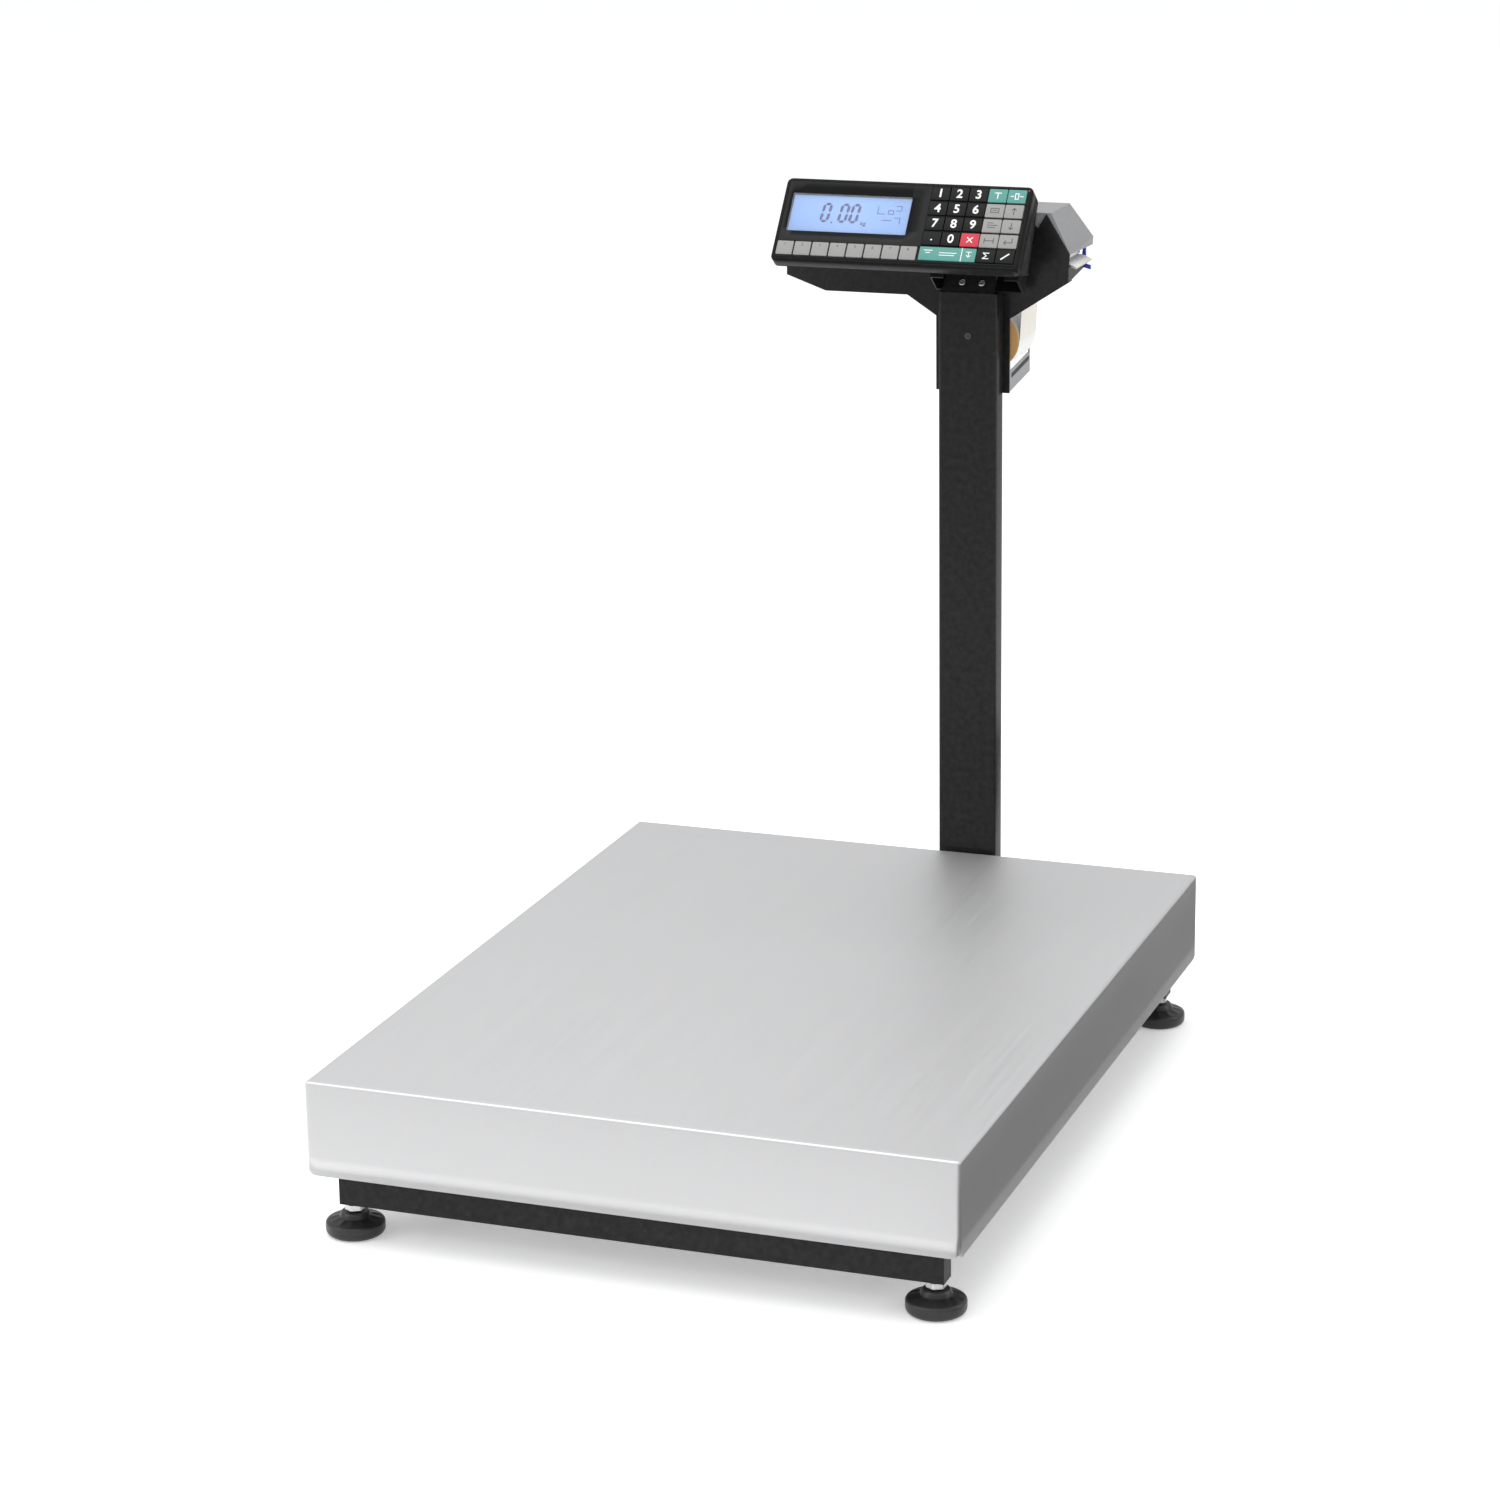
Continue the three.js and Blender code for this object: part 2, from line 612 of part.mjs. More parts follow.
// Thermal print head, pressed on the platen through the label web.
{
  const low = webOverPlaten + WEB_SHEET + FIT_GAP;
  const headX = either(platenX, HEAD_BLOCK[0] / 2);
  const bar = block(headX, webY, [low, low + HEAD_BLOCK[1]]);
  platform.add(piece("print_head", bar, "aluminium"));
}

// Stepping motor that feeds the labels.
{
  const x = fromColumn(MOTOR_X);
  const body = barY(MOTOR_RADIUS, [webY[1] - MOTOR_LENGTH, webY[1]], x, MOTOR_Z);
  const shaft = barY(PLATEN_SHAFT - 1, [webY[1] - 1, webY[1] + GEAR_SIDE[1]], x, MOTOR_Z);
  platform.add(piece("feed_motor", body.add(shaft), "zinc"));
}

// Blue lever that lifts the print head: a hub on the platen's axis and a forked finger grip.
{
  const y0 = webY[1] + GEAR_SIDE[1] + FIT_GAP;
  const leverY = [y0, y0 + LEVER_SHEET];
  const hub = barY(LEVER_HUB, leverY, platenX, PLATEN_Z);
  const grip = outline(LEVER_GRIP.map(([x, z]) => [platenX + x, PLATEN_Z + z]));
  const lever = hub.add(across(grip, leverY));
  platform.add(piece("release_lever", lever, "bluePlastic"));
}

// ---- label roll, its spindle and the label web --------------------------------------------------

const rollX = fromColumn(ROLL_X);

{
  const core = barY(CORE_RADIUS, [webY[0] - 1, webY[1] + 1], rollX, ROLL_Z);
  const roll = barY(ROLL_RADIUS, webY, rollX, ROLL_Z).subtract(core);
  platform.add(piece("label_roll", roll, "paper"));
}

{
  const rod = CORE_RADIUS - SPINDLE_CLEARANCE;
  const rodEnd = webY[1] + FIT_GAP;
  const collar = barY(rod + SPINDLE_COLLAR, [bayY[0], webY[0] - FIT_GAP], rollX, ROLL_Z);
  const spindle = barY(rod, [bayY[0], rodEnd], rollX, ROLL_Z).add(collar);
  platform.add(piece("roll_spindle", spindle, "blackPlastic"));
  const keeperY = [rodEnd + FIT_GAP, rodEnd + FIT_GAP + KEEPER_SHEET];
  platform.add(piece("roll_keeper", barY(KEEPER_RADIUS, keeperY, rollX, ROLL_Z), "blackPlastic"));
}

// Bare steel guard beside the roll: a rising strip with a post at each end.
{
  const right = fromColumn(TONGUE_RIGHT);
  const front = bayY[0];
  const back = webY[1] + GUARD_TAIL;
  const rise = (y) => (GUARD_RISE * (y - front)) / (back - front);
  const low = (y) => TONGUE_BOTTOM + 1 + rise(y);
  const top = (y) => low(y) + GUARD_HEIGHT;
  const guard = outline([
    [front, low(front)],
    [back, low(back)],
    [back, top(back) + GUARD_POST_HEIGHT],
    [back - GUARD_POST, top(back) + GUARD_POST_HEIGHT],
    [back - GUARD_POST, top(back - GUARD_POST)],
    [front + GUARD_POST, top(front + GUARD_POST)],
    [front + GUARD_POST, top(front) + GUARD_POST_HEIGHT],
    [front, top(front) + GUARD_POST_HEIGHT],
  ]);
  platform.add(piece("roll_guard", sideways(guard, [right - GUARD_SHEET, right]), "zinc"));
}

// The label web leaves the roll's right side, climbs to the platen, passes under the print head and
// hangs out to the right.  Its upper face is the path moved square to itself by the web's thickness.
{
  const path = [
    [rollX + ROLL_RADIUS + FIT_GAP + WEB_SHEET, ROLL_Z],
    [rollX + ROLL_RADIUS + WEB_RUN, ROLL_Z + 40],
    [platenX - 12, webOverPlaten - 6],
    [platenX - 7, webOverPlaten - 0.8],
    [platenX - 3, webOverPlaten],
    [platenX + 5, webOverPlaten],
    [platenX + 14, webOverPlaten - 1],
    [platenX + WEB_END, webOverPlaten - 5],
  ];
  const raised = path.map(([x, z], i) => {
    const [xa, za] = path[Math.max(i - 1, 0)];
    const [xb, zb] = path[Math.min(i + 1, path.length - 1)];
    const length = Math.hypot(xb - xa, zb - za);
    return [x - (WEB_SHEET * (zb - za)) / length, z + (WEB_SHEET * (xb - xa)) / length];
  });
  const web = across(outline([...path, ...raised.reverse()]), [webY[0] + 1, webY[1] - 1]);
  platform.add(piece("label_web", web, "paper"));
}

// ---- terminal, laid out on its tilted face ------------------------------------------------------

const terminal = new THREE.Group();
terminal.rotation.x = Math.PI / 2 - TILT;
terminal.position.set(
  TERMINAL_OFFSET,
  columnFront + FACE_ABOVE_FOLD * Math.sin(TILT) - FACE_TO_TAB * Math.cos(TILT),
  COLUMN_TOP + FACE_ABOVE_FOLD * Math.cos(TILT) + FACE_TO_TAB * Math.sin(TILT),
);
platform.add(terminal);

const caseU = either(0, CASE_WIDTH / 2);
const caseV = [CASE_BOTTOM, CASE_TOP];

// Every key: name, centre, size and finish.
const keys = [];
for (let n = 0; n < F_KEY_COUNT; n++)
  keys.push({
    name: "key_f" + (n + 1),
    at: [F_KEY_FIRST + n * F_KEY_PITCH, F_KEY_ROW],
    size: F_KEY_SIZE,
    finish: "greyKey",
  });

const numberBlock = [
  ["key_1", "key_2", "key_3", "key_tare", "key_zero"],
  ["key_4", "key_5", "key_6", "key_code", "key_up"],
  ["key_7", "key_8", "key_9", "key_menu", "key_down"],
  ["key_dot", "key_0", "key_clear", "key_mode", "key_enter"],
  [null, null, null, "key_total", "key_label"],
];
const keyFinish = (name, row, column) => {
  if (name === "key_clear") return "redKey";
  if (column < 3 || row === 4) return "blackKey";
  return row === 0 ? "greenKey" : "greyKey";
};
numberBlock.forEach((names, row) =>
  names.forEach((name, column) => {
    if (!name) return;
    const at = [KEY_COLUMN + column * KEY_PITCH[0], KEY_ROW - row * KEY_PITCH[1]];
    keys.push({ name, at, size: KEY_SIZE, finish: keyFinish(name, row, column) });
  }),
);

const printRight = KEY_COLUMN + 2.5 * KEY_PITCH[0] - KEY_CLEARANCE * 2;
keys.push({
  name: "key_print",
  at: [(PRINT_KEY_LEFT + printRight) / 2, KEY_ROW - 4 * KEY_PITCH[1]],
  size: [printRight - PRINT_KEY_LEFT, KEY_SIZE[1]],
  finish: "greenKey",
});

const keyBlock = (key, grow, z) =>
  block(either(key.at[0], key.size[0] / 2 + grow), either(key.at[1], key.size[1] / 2 + grow), z);

// Front half of the case, with the display window's recess and an opening for each key.
const windowU = either(WINDOW_CENTRE[0], WINDOW_SIZE[0] / 2);
const windowV = either(WINDOW_CENTRE[1], WINDOW_SIZE[1] / 2);
{
  const shellU = wallIn(caseU, CASE_WALL);
  const shellV = wallIn(caseV, CASE_WALL);
  let bezel = upright(roundedOutline(caseU, caseV, CASE_CORNER), [-BEZEL_DEPTH, 0]);
  const hollow = roundedOutline(shellU, shellV, CASE_CORNER - CASE_WALL);
  bezel = bezel.subtract(upright(hollow, [-BEZEL_DEPTH - 1, -CASE_WALL]));
  bezel = bezel.subtract(block(windowU, windowV, [-CASE_WALL - 1, 1]));
  for (const key of keys) bezel = bezel.subtract(keyBlock(key, KEY_CLEARANCE, [-CASE_WALL - 1, 1]));
  terminal.add(piece("terminal_bezel", bezel, "blackPlastic"));
}

// Back half of the case, deeper towards the bottom, where its wall leans in.
{
  const profile = (inset, front) =>
    outline([
      [CASE_BOTTOM + inset, front],
      [CASE_BOTTOM + CASE_DRAFT + inset, -CASE_DEPTH_BOTTOM + inset],
      [0, -CASE_DEPTH_BOTTOM + inset],
      [CASE_TOP - inset, -CASE_DEPTH_TOP + inset],
      [CASE_TOP - inset, front],
    ]);
  const rim = -BEZEL_DEPTH - FIT_GAP;
  const fill = upright(roundedOutline(caseU, caseV, CASE_CORNER), [-CASE_DEPTH_BOTTOM - 1, rim]);
  const outer = sideways(profile(0, rim), caseU).intersect(fill);
  const inner = sideways(profile(CASE_WALL, rim + 1), wallIn(caseU, CASE_WALL));
  terminal.add(piece("terminal_back", outer.subtract(inner), "blackPlastic"));
}

{
  const clearU = wallIn(windowU, FIT_GAP);
  const clearV = wallIn(windowV, FIT_GAP);
  const pane = block(clearU, clearV, [-WINDOW_SHEET, 0]);
  terminal.add(piece("display_window", pane, "clear"));
  const lcdTop = -Math.max(CASE_WALL, WINDOW_SHEET) - FIT_GAP;
  const lcd = block(wallIn(windowU, 1), wallIn(windowV, 1), [lcdTop - LCD_DEPTH, lcdTop]);
  terminal.add(piece("display_panel", lcd, "lcd"));
}

// Circuit board under the keys; it stops beside the display.
{
  const boardU = [windowU[1] + BOARD_MARGIN / 2, caseU[1] - BOARD_MARGIN];
  const upper = block(boardU, [CASE_BOTTOM + BOARD_MARGIN, CASE_TOP - BOARD_MARGIN], [
    -BOARD_DROP - BOARD_SHEET,
    -BOARD_DROP,
  ]);
  const lower = block(
    [caseU[0] + BOARD_MARGIN, boardU[0] + 1],
    [CASE_BOTTOM + BOARD_MARGIN, windowV[0] - 1],
    [-BOARD_DROP - BOARD_SHEET, -BOARD_DROP],
  );
  terminal.add(piece("keypad_board", upper.add(lower), "board"));
}

for (const key of keys)
  terminal.add(piece(key.name, keyBlock(key, 0, [-KEY_DEPTH, KEY_RISE]), key.finish));

// Round socket for the mains adapter, standing on the flat of the back half.
{
  const seat = -CASE_DEPTH_BOTTOM - FIT_GAP;
  const flange = barZ(INLET_RADIUS, [seat - INLET_STAND, seat], ...INLET_AT);
  const bore = barZ(INLET_BORE, [seat - INLET_STAND - 1, seat - 1], ...INLET_AT);
  terminal.add(piece("power_inlet", flange.subtract(bore), "blackPlastic"));
}

// Saddle: a sheet strip behind the column's tab, with two cheeks that reach forward to the case.
{
  const shift = -TERMINAL_OFFSET;
  const strip = [-FACE_TO_TAB - COLUMN_WALL - FIT_GAP - SADDLE_SHEET, -FACE_TO_TAB - COLUMN_WALL - FIT_GAP];
  const reachV = [SADDLE_LOW, SADDLE_HIGH];
  const front = -CASE_DEPTH_BOTTOM - FIT_GAP;
  let saddle = block([SADDLE_LEFT + shift, SADDLE_RIGHT + shift], reachV, strip);
  for (const [edge, side] of [
    [SADDLE_LEFT + shift, 1],
    [SADDLE_RIGHT + shift, -1],
  ]) {
    const cheek = side > 0 ? [edge, edge + SADDLE_SHEET] : [edge - SADDLE_SHEET, edge];
    const lip = side > 0 ? [edge, edge + SADDLE_LIP] : [edge - SADDLE_LIP, edge];
    saddle = saddle.add(block(cheek, reachV, [strip[0], front]));
    saddle = saddle.add(block(lip, reachV, [front - SADDLE_SHEET, front]));
  }
  terminal.add(piece("terminal_saddle", saddle, "blackPaint"));
}

// ---- whole object: the origin goes under the middle of its outline ------------------------------

const group = new THREE.Group();
group.add(platform);
const span = new THREE.Box3().setFromObject(group);
platform.position.y = -(span.min.y + span.max.y) / 2;

export default group;
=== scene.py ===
# Floor-standing platform scale with a keypad terminal and a label printer on its column.
# Metres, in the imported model's own frame: +Z up, +Y from the operator to the column.

import math

import bmesh
import bpy
import numpy as np
from mathutils import Matrix, Vector


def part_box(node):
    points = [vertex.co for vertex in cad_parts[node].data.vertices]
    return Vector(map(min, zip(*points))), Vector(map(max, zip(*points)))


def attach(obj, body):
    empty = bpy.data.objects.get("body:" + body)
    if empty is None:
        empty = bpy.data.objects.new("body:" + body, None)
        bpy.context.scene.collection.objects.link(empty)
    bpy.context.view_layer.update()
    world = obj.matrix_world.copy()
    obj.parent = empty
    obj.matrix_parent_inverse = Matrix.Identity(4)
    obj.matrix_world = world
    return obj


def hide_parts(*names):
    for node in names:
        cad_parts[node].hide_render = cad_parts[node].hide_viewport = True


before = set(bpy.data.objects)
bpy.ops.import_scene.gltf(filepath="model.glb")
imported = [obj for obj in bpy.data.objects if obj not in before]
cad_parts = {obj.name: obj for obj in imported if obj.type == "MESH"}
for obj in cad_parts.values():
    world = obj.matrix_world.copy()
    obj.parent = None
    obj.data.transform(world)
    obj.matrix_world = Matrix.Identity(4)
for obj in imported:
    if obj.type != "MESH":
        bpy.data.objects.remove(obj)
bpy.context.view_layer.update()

# ---- camera and studio ---------------------------------------------------------------------------
# Operator's view from the front right, slightly above the terminal's back, in a white studio:
# a pale floor, a large overhead softbox, a fill from the left, and painted shade on the floor seen only in
# reflections: a near-black card low on the right for the pan's shadow, a paler card in front.

scene = bpy.context.scene
scene.view_settings.view_transform = "Standard"
scene.view_settings.look = "None"

pan_low, pan_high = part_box("platform_cover")
pan_middle = (pan_low + pan_high) / 2
pan_top = Vector((pan_middle.x, pan_middle.y, pan_high.z))

CAMERA_FROM_PAN = Vector((1.2330, -3.4119, 1.2857))
CAMERA_TURN = math.radians(20.40)
CAMERA_DROP = math.radians(16.36)
CAMERA_ROLL = math.radians(-0.86)

back = Vector(
    (
        math.sin(CAMERA_TURN) * math.cos(CAMERA_DROP),
        -math.cos(CAMERA_TURN) * math.cos(CAMERA_DROP),
        math.sin(CAMERA_DROP),
    )
)
right = Vector((math.cos(CAMERA_TURN), math.sin(CAMERA_TURN), 0))
up = back.cross(right)
x_axis = right * math.cos(CAMERA_ROLL) + up * math.sin(CAMERA_ROLL)
y_axis = up * math.cos(CAMERA_ROLL) - right * math.sin(CAMERA_ROLL)

camera_data = bpy.data.cameras.new("camera")
camera_data.sensor_width = 36
camera_data.lens = 98.38
camera_data.shift_x = 0.006
camera_data.shift_y = -0.0027
camera_data.clip_end = 200
camera = bpy.data.objects.new("camera", camera_data)
camera.matrix_world = Matrix(
    [
        (x_axis.x, y_axis.x, back.x, pan_top.x + CAMERA_FROM_PAN.x),
        (x_axis.y, y_axis.y, back.y, pan_top.y + CAMERA_FROM_PAN.y),
        (x_axis.z, y_axis.z, back.z, pan_top.z + CAMERA_FROM_PAN.z),
        (0, 0, 0, 1),
    ]
)
scene.collection.objects.link(camera)
scene.camera = camera


def new_material(name, sockets):
    """A material with its main shader's sockets set.  Returns it, its node tree and the shader."""
    material = bpy.data.materials.new(name)
    material.use_nodes = True
    shader = material.node_tree.nodes["Principled BSDF"]
    for socket, value in sockets.items():
        shader.inputs[socket].default_value = value
    return material, material.node_tree, shader


def stage_sheet(name, corners, colour, emission, metal_only=False):
    """A flat stage sheet between four corners, plain colour plus a share of its own light."""
    mesh = bpy.data.meshes.new(name)
    mesh.from_pydata(corners, [], [(0, 1, 2, 3)])
    sheet = bpy.data.objects.new(name, mesh)
    scene.collection.objects.link(sheet)
    sockets = {"Base Color": (*colour, 1), "Roughness": 0.9, "Specular IOR Level": 0.1}
    sockets.update({"Emission Color": (*colour, 1), "Emission Strength": emission})
    mesh.materials.append(new_material(name, sockets)[0])
    if metal_only:
        sheet.visible_camera = False
        sheet.visible_diffuse = False
        sheet.visible_shadow = False
    return sheet


FLOOR_DROP = -0.0002
stage_sheet(
    "studio_floor",
    [(x, y, FLOOR_DROP) for x, y in ((-60, -60), (60, -60), (60, 60), (-60, 60))],
    (0.94, 0.94, 0.94),
    0.36,
)
# Painted shade seen only in reflections: these cards are hidden from the camera, from diffuse light and
# from shadows; the dark one on the right stands for the pan's shadow on the floor, the paler one in front
# for dimmer floor there.
stage_sheet(
    "reflected_shadow_card",
    [(0.33, -0.75, 0.0004), (2.2, -0.75, 0.0004), (2.2, 1.45, 0.0004), (0.33, 1.45, 0.0004)],
    (0.03, 0.028, 0.03),
    0.10,
    metal_only=True,
)
stage_sheet(
    "reflected_shade_card",
    [(-1.6, -3.2, 0.0004), (0.9, -3.2, 0.0004), (0.32, -0.56, 0.0004), (-0.9, -0.56, 0.0004)],
    (0.74, 0.74, 0.74),
    0.14,
    metal_only=True,
)

world = bpy.data.worlds.new("studio")
world.use_nodes = True
world.node_tree.nodes["Background"].inputs["Color"].default_value = (0.96, 0.965, 0.97, 1)
world.node_tree.nodes["Background"].inputs["Strength"].default_value = 0.72
scene.world = world


def softbox(name, place, aim, size, watts, colour=(1, 1, 1)):
    """A rectangular area light at a place, turned to face the aim."""
    data = bpy.data.lights.new(name, "AREA")
    data.shape = "RECTANGLE"
    data.size, data.size_y = size
    data.energy = watts
    data.color = colour
    lamp = bpy.data.objects.new(name, data)
    lamp.location = place
    lamp.rotation_mode = "QUATERNION"
    lamp.rotation_quaternion = (Vector(aim) - Vector(place)).to_track_quat("-Z", "Y")
    scene.collection.objects.link(lamp)


softbox("softbox_over", (-0.3, -0.2, 3.4), (0, 0, 0.2), (3.2, 3.2), 72)
softbox("softbox_left", (-3.0, -2.2, 2.2), (0, 0, 0.4), (1.8, 2.4), 24)
softbox("strip_right", (2.6, 0.7, 1.2), (0.05, 0.35, 0.5), (0.5, 2.0), 9)

# ---- platform pan --------------------------------------------------------------------------------
# One sheet of brushed stainless steel, folded down on four sides and welded at the corners.  The
# grain of the sheet runs from front to back, over the top and down the front skirt.

SHEET = 0.0015
PAN_BEND = 0.0026
PAN_CORNER = 0.0032
SKIRT_CORNER = 0.009


def rounded_ring(half_a, half_b, radius, steps=8):
    """Points round a rectangle with round corners, as angle runs once round: each corner is a
    quarter circle of `steps` steps about its own centre.  Returns the points and outward normals."""
    turn = np.linspace(0, math.pi / 2, steps + 1)
    quarter = np.arange(4) * math.pi / 2
    angle = (quarter[:, None] + turn[None, :]).ravel()
    sign_a = np.repeat([1, -1, -1, 1], steps + 1)
    sign_b = np.repeat([1, 1, -1, -1], steps + 1)
    normal = np.stack([np.cos(angle), np.sin(angle)], 1)
    centre = np.stack([sign_a * (half_a - radius), sign_b * (half_b - radius)], 1)
    return centre + radius * normal, normal


def surface(name, points, wrap=(False, False), close=(), uv=None, angle=32):
    """A grid of points as quads.  Point (i, j) joins (i+1, j) and (i, j+1); wrap joins the last
    column or row to the first; close lists rows (0 or -1) that end in one flat face."""
    rows, columns = points.shape[:2]
    i = np.arange(rows if wrap[0] else rows - 1)
    j = np.arange(columns if wrap[1] else columns - 1)
    i, j = (a.ravel() for a in np.meshgrid(i, j, indexing="ij"))
    i2, j2 = (i + 1) % rows, (j + 1) % columns
    quads = np.stack([i * columns + j, i2 * columns + j, i2 * columns + j2, i * columns + j2], 1)
    faces = quads.tolist()
    whole = np.arange(rows * columns).reshape(rows, columns)
    faces += [whole[row][:: 1 if row == 0 else -1].tolist() for row in close]
    mesh = bpy.data.meshes.new(name)
    mesh.from_pydata(points.reshape(-1, 3).tolist(), [], faces)
    if uv is not None:
        layer = mesh.uv_layers.new(name="sheet")
        loops = np.empty(len(mesh.loops), np.int32)
        mesh.loops.foreach_get("vertex_index", loops)
        layer.data.foreach_set("uv", uv.reshape(-1, 2)[loops].astype(np.float32).ravel())
    return settle(mesh, angle)


def settle(mesh, angle=32):
    """Links a mesh as an object with smooth faces and sharp edges above the angle."""
    mesh.validate()
    mesh.polygons.foreach_set("use_smooth", np.ones(len(mesh.polygons), bool))
    mesh.set_sharp_from_angle(angle=math.radians(angle))
    made = bpy.data.objects.new(mesh.name, mesh)
    scene.collection.objects.link(made)
    return made


def outward(piece):
    """Turns the faces of a closed piece outwards."""
    work = bmesh.new()
    work.from_mesh(piece.data)
    bmesh.ops.remove_doubles(work, verts=work.verts, dist=1e-7)
    bmesh.ops.recalc_face_normals(work, faces=work.faces)
    work.to_mesh(piece.data)
    work.free()
    return piece


def thicken(piece, name, thickness):
    """Gives a sheet its thickness, inwards from the modelled face."""
    sheet = piece.modifiers.new(name, "SOLIDIFY")
    sheet.thickness = thickness
    sheet.offset = -1


def keep(piece, body, material, replaced=()):
    """Gives a piece its material and slot, and lets it ride on its body."""
    piece.data.materials.clear()
    piece.data.materials.append(material)
    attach(piece, body)
    if replaced:
        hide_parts(*replaced)
    return piece


def new_group(name, inputs, outputs):
    """An empty node group with its sockets.  Returns the group, its input and its output node."""
    group = bpy.data.node_groups.new(name, "ShaderNodeTree")
    for label, kind, value in inputs:
        socket = group.interface.new_socket(label, in_out="INPUT", socket_type=kind)
        if value is not None:
            socket.default_value = value
    for label, kind in outputs:
        group.interface.new_socket(label, in_out="OUTPUT", socket_type=kind)
    return group, group.nodes.new("NodeGroupInput"), group.nodes.new("NodeGroupOutput")


def node(tree, kind, links=(), **values):
    """Adds a node, sets its properties or sockets, and links what feeds it."""
    made = tree.nodes.new(kind)
    for key, value in values.items():
        if hasattr(made, key):
            setattr(made, key, value)
        else:
            made.inputs[key].default_value = value
    for target, source in links:
        tree.links.new(source, made.inputs[target])
    return made


def math_node(tree, operation, *values):
    """One arithmetic node: each value is a number or a socket that feeds it."""
    made = tree.nodes.new("ShaderNodeMath")
    made.operation = operation
    for n, value in enumerate(values):
        if isinstance(value, (int, float)):
            made.inputs[n].default_value = value
        else:
            tree.links.new(value, made.inputs[n])
    return made.outputs[0]


def mix_node(tree, share, low, high):
    """Colour mix: share 0 gives low and 1 gives high."""
    made = tree.nodes.new("ShaderNodeMix")
    made.data_type = "RGBA"
    for socket, value in ((0, share), (6, low), (7, high)):
        if isinstance(value, (int, float)):
            made.inputs[socket].default_value = value
        elif isinstance(value, tuple):
            made.inputs[socket].default_value = (*value, 1)
        else:
            tree.links.new(value, made.inputs[socket])
    return made.outputs[2]


# Fine moulded or sprayed grain: two sizes of noise added up, as a height and as a tone.
grain, grain_in, grain_out = new_group(
    "fine_grain",
    [("Vector", "NodeSocketVector", None), ("Scale", "NodeSocketFloat", 800.0)],
    [("Height", "NodeSocketFloat"), ("Tone", "NodeSocketFloat")],
)
fine = node(
    grain,
    "ShaderNodeTexNoise",
    [("Vector", grain_in.outputs[0]), ("Scale", grain_in.outputs[1])],
    Detail=3.0,
    Roughness=0.6,
)
coarse_scale = math_node(grain, "MULTIPLY", grain_in.outputs[1], 0.045)
coarse = node(
    grain,
    "ShaderNodeTexNoise",
    [("Vector", grain_in.outputs[0]), ("Scale", coarse_scale)],
    Detail=4.0,
)
height = math_node(grain, "MULTIPLY_ADD", coarse.outputs[0], 0.15, fine.outputs[0])
grain.links.new(height, grain_out.inputs[0])
grain.links.new(coarse.outputs[0], grain_out.inputs[1])

# Dust: gathers on faces that look up, in soft uneven patches.
dust, dust_in, dust_out = new_group(
    "settled_dust",
    [("Vector", "NodeSocketVector", None), ("Amount", "NodeSocketFloat", 0.1)],
    [("Mask", "NodeSocketFloat")],
)
geometry = dust.nodes.new("ShaderNodeNewGeometry")
parts = node(dust, "ShaderNodeSeparateXYZ", [(0, geometry.outputs["Normal"])])
looks_up = math_node(dust, "MAXIMUM", parts.outputs[2], 0.12)
patches = node(dust, "ShaderNodeTexNoise", [("Vector", dust_in.outputs[0])], Scale=22.0, Detail=6.0)
uneven = math_node(dust, "POWER", patches.outputs[0], 1.6)
amount = math_node(dust, "MULTIPLY", uneven, dust_in.outputs[1])
dust.links.new(math_node(dust, "MULTIPLY", amount, looks_up), dust_out.inputs[0])

# Edge wear: the lighter rub line that handling leaves on convex edges.
wear, wear_in, wear_out = new_group(
    "edge_wear",
    [("Vector", "NodeSocketVector", None), ("Amount", "NodeSocketFloat", 0.5)],
    [("Mask", "NodeSocketFloat")],
)
shape = wear.nodes.new("ShaderNodeNewGeometry")
edge = node(wear, "ShaderNodeMapRange", [("Value", shape.outputs["Pointiness"])])
edge.inputs["From Min"].default_value = 0.515
edge.inputs["From Max"].default_value = 0.56
broken = node(wear, "ShaderNodeTexNoise", [("Vector", wear_in.outputs[0])], Scale=160.0, Detail=5.0)
rub = math_node(wear, "MULTIPLY", edge.outputs[0], broken.outputs[0])
wear.links.new(math_node(wear, "MULTIPLY", rub, wear_in.outputs[1]), wear_out.inputs[0])


def placed(tree, group, vector, **values):
    """A shared node group set into a material, fed with a vector."""
    made = tree.nodes.new("ShaderNodeGroup")
    made.node_tree = group
    tree.links.new(vector, made.inputs["Vector"])
    for key, value in values.items():
        made.inputs[key].default_value = value
    return made


def add_relief(tree, shader, height, strength, distance=0.0003):
    """Fine relief: a height becomes a bump that the main shader's normal follows."""
    relief = node(tree, "ShaderNodeBump", [("Height", height)], Strength=strength, Distance=distance)
    tree.links.new(relief.outputs[0], shader.inputs["Normal"])


def coated(
    name,
    base,
    rough,
    metal=0.0,
    scale=900.0,
    bump=0.05,
    tone=0.12,
    dusty=0.05,
    worn=0.2,
    worn_colour=(0.25, 0.25, 0.26),
    specular=0.5,
    coat=0.0,
):
    """A surface with grain, uneven tone, rubbed edges and a little dust."""
    sockets = {"Metallic": metal, "Specular IOR Level": specular, "Coat Weight": coat}
    material, tree, shader = new_material(name, sockets | {"Coat Roughness": 0.2})
    where = tree.nodes.new("ShaderNodeTexCoord").outputs["Object"]
    grains = placed(tree, grain, where, Scale=scale)
    rubbed = placed(tree, wear, where, Amount=worn)
    settled = placed(tree, dust, where, Amount=dusty)
    dark = tuple(c * (1 - tone) for c in base)
    light = tuple(c * (1 + tone) for c in base)
    colour = mix_node(tree, grains.outputs["Tone"], dark, light)
    colour = mix_node(tree, rubbed.outputs["Mask"], colour, worn_colour)
    colour = mix_node(tree, settled.outputs["Mask"], colour, (0.42, 0.41, 0.39))
    tree.links.new(colour, shader.inputs["Base Color"])
    spread = math_node(tree, "MULTIPLY_ADD", grains.outputs["Tone"], 0.16, rough - 0.08)
    spread = math_node(tree, "ADD", spread, settled.outputs["Mask"])
    tree.links.new(spread, shader.inputs["Roughness"])
    add_relief(tree, shader, grains.outputs["Height"], bump, 0.0004)
    return material


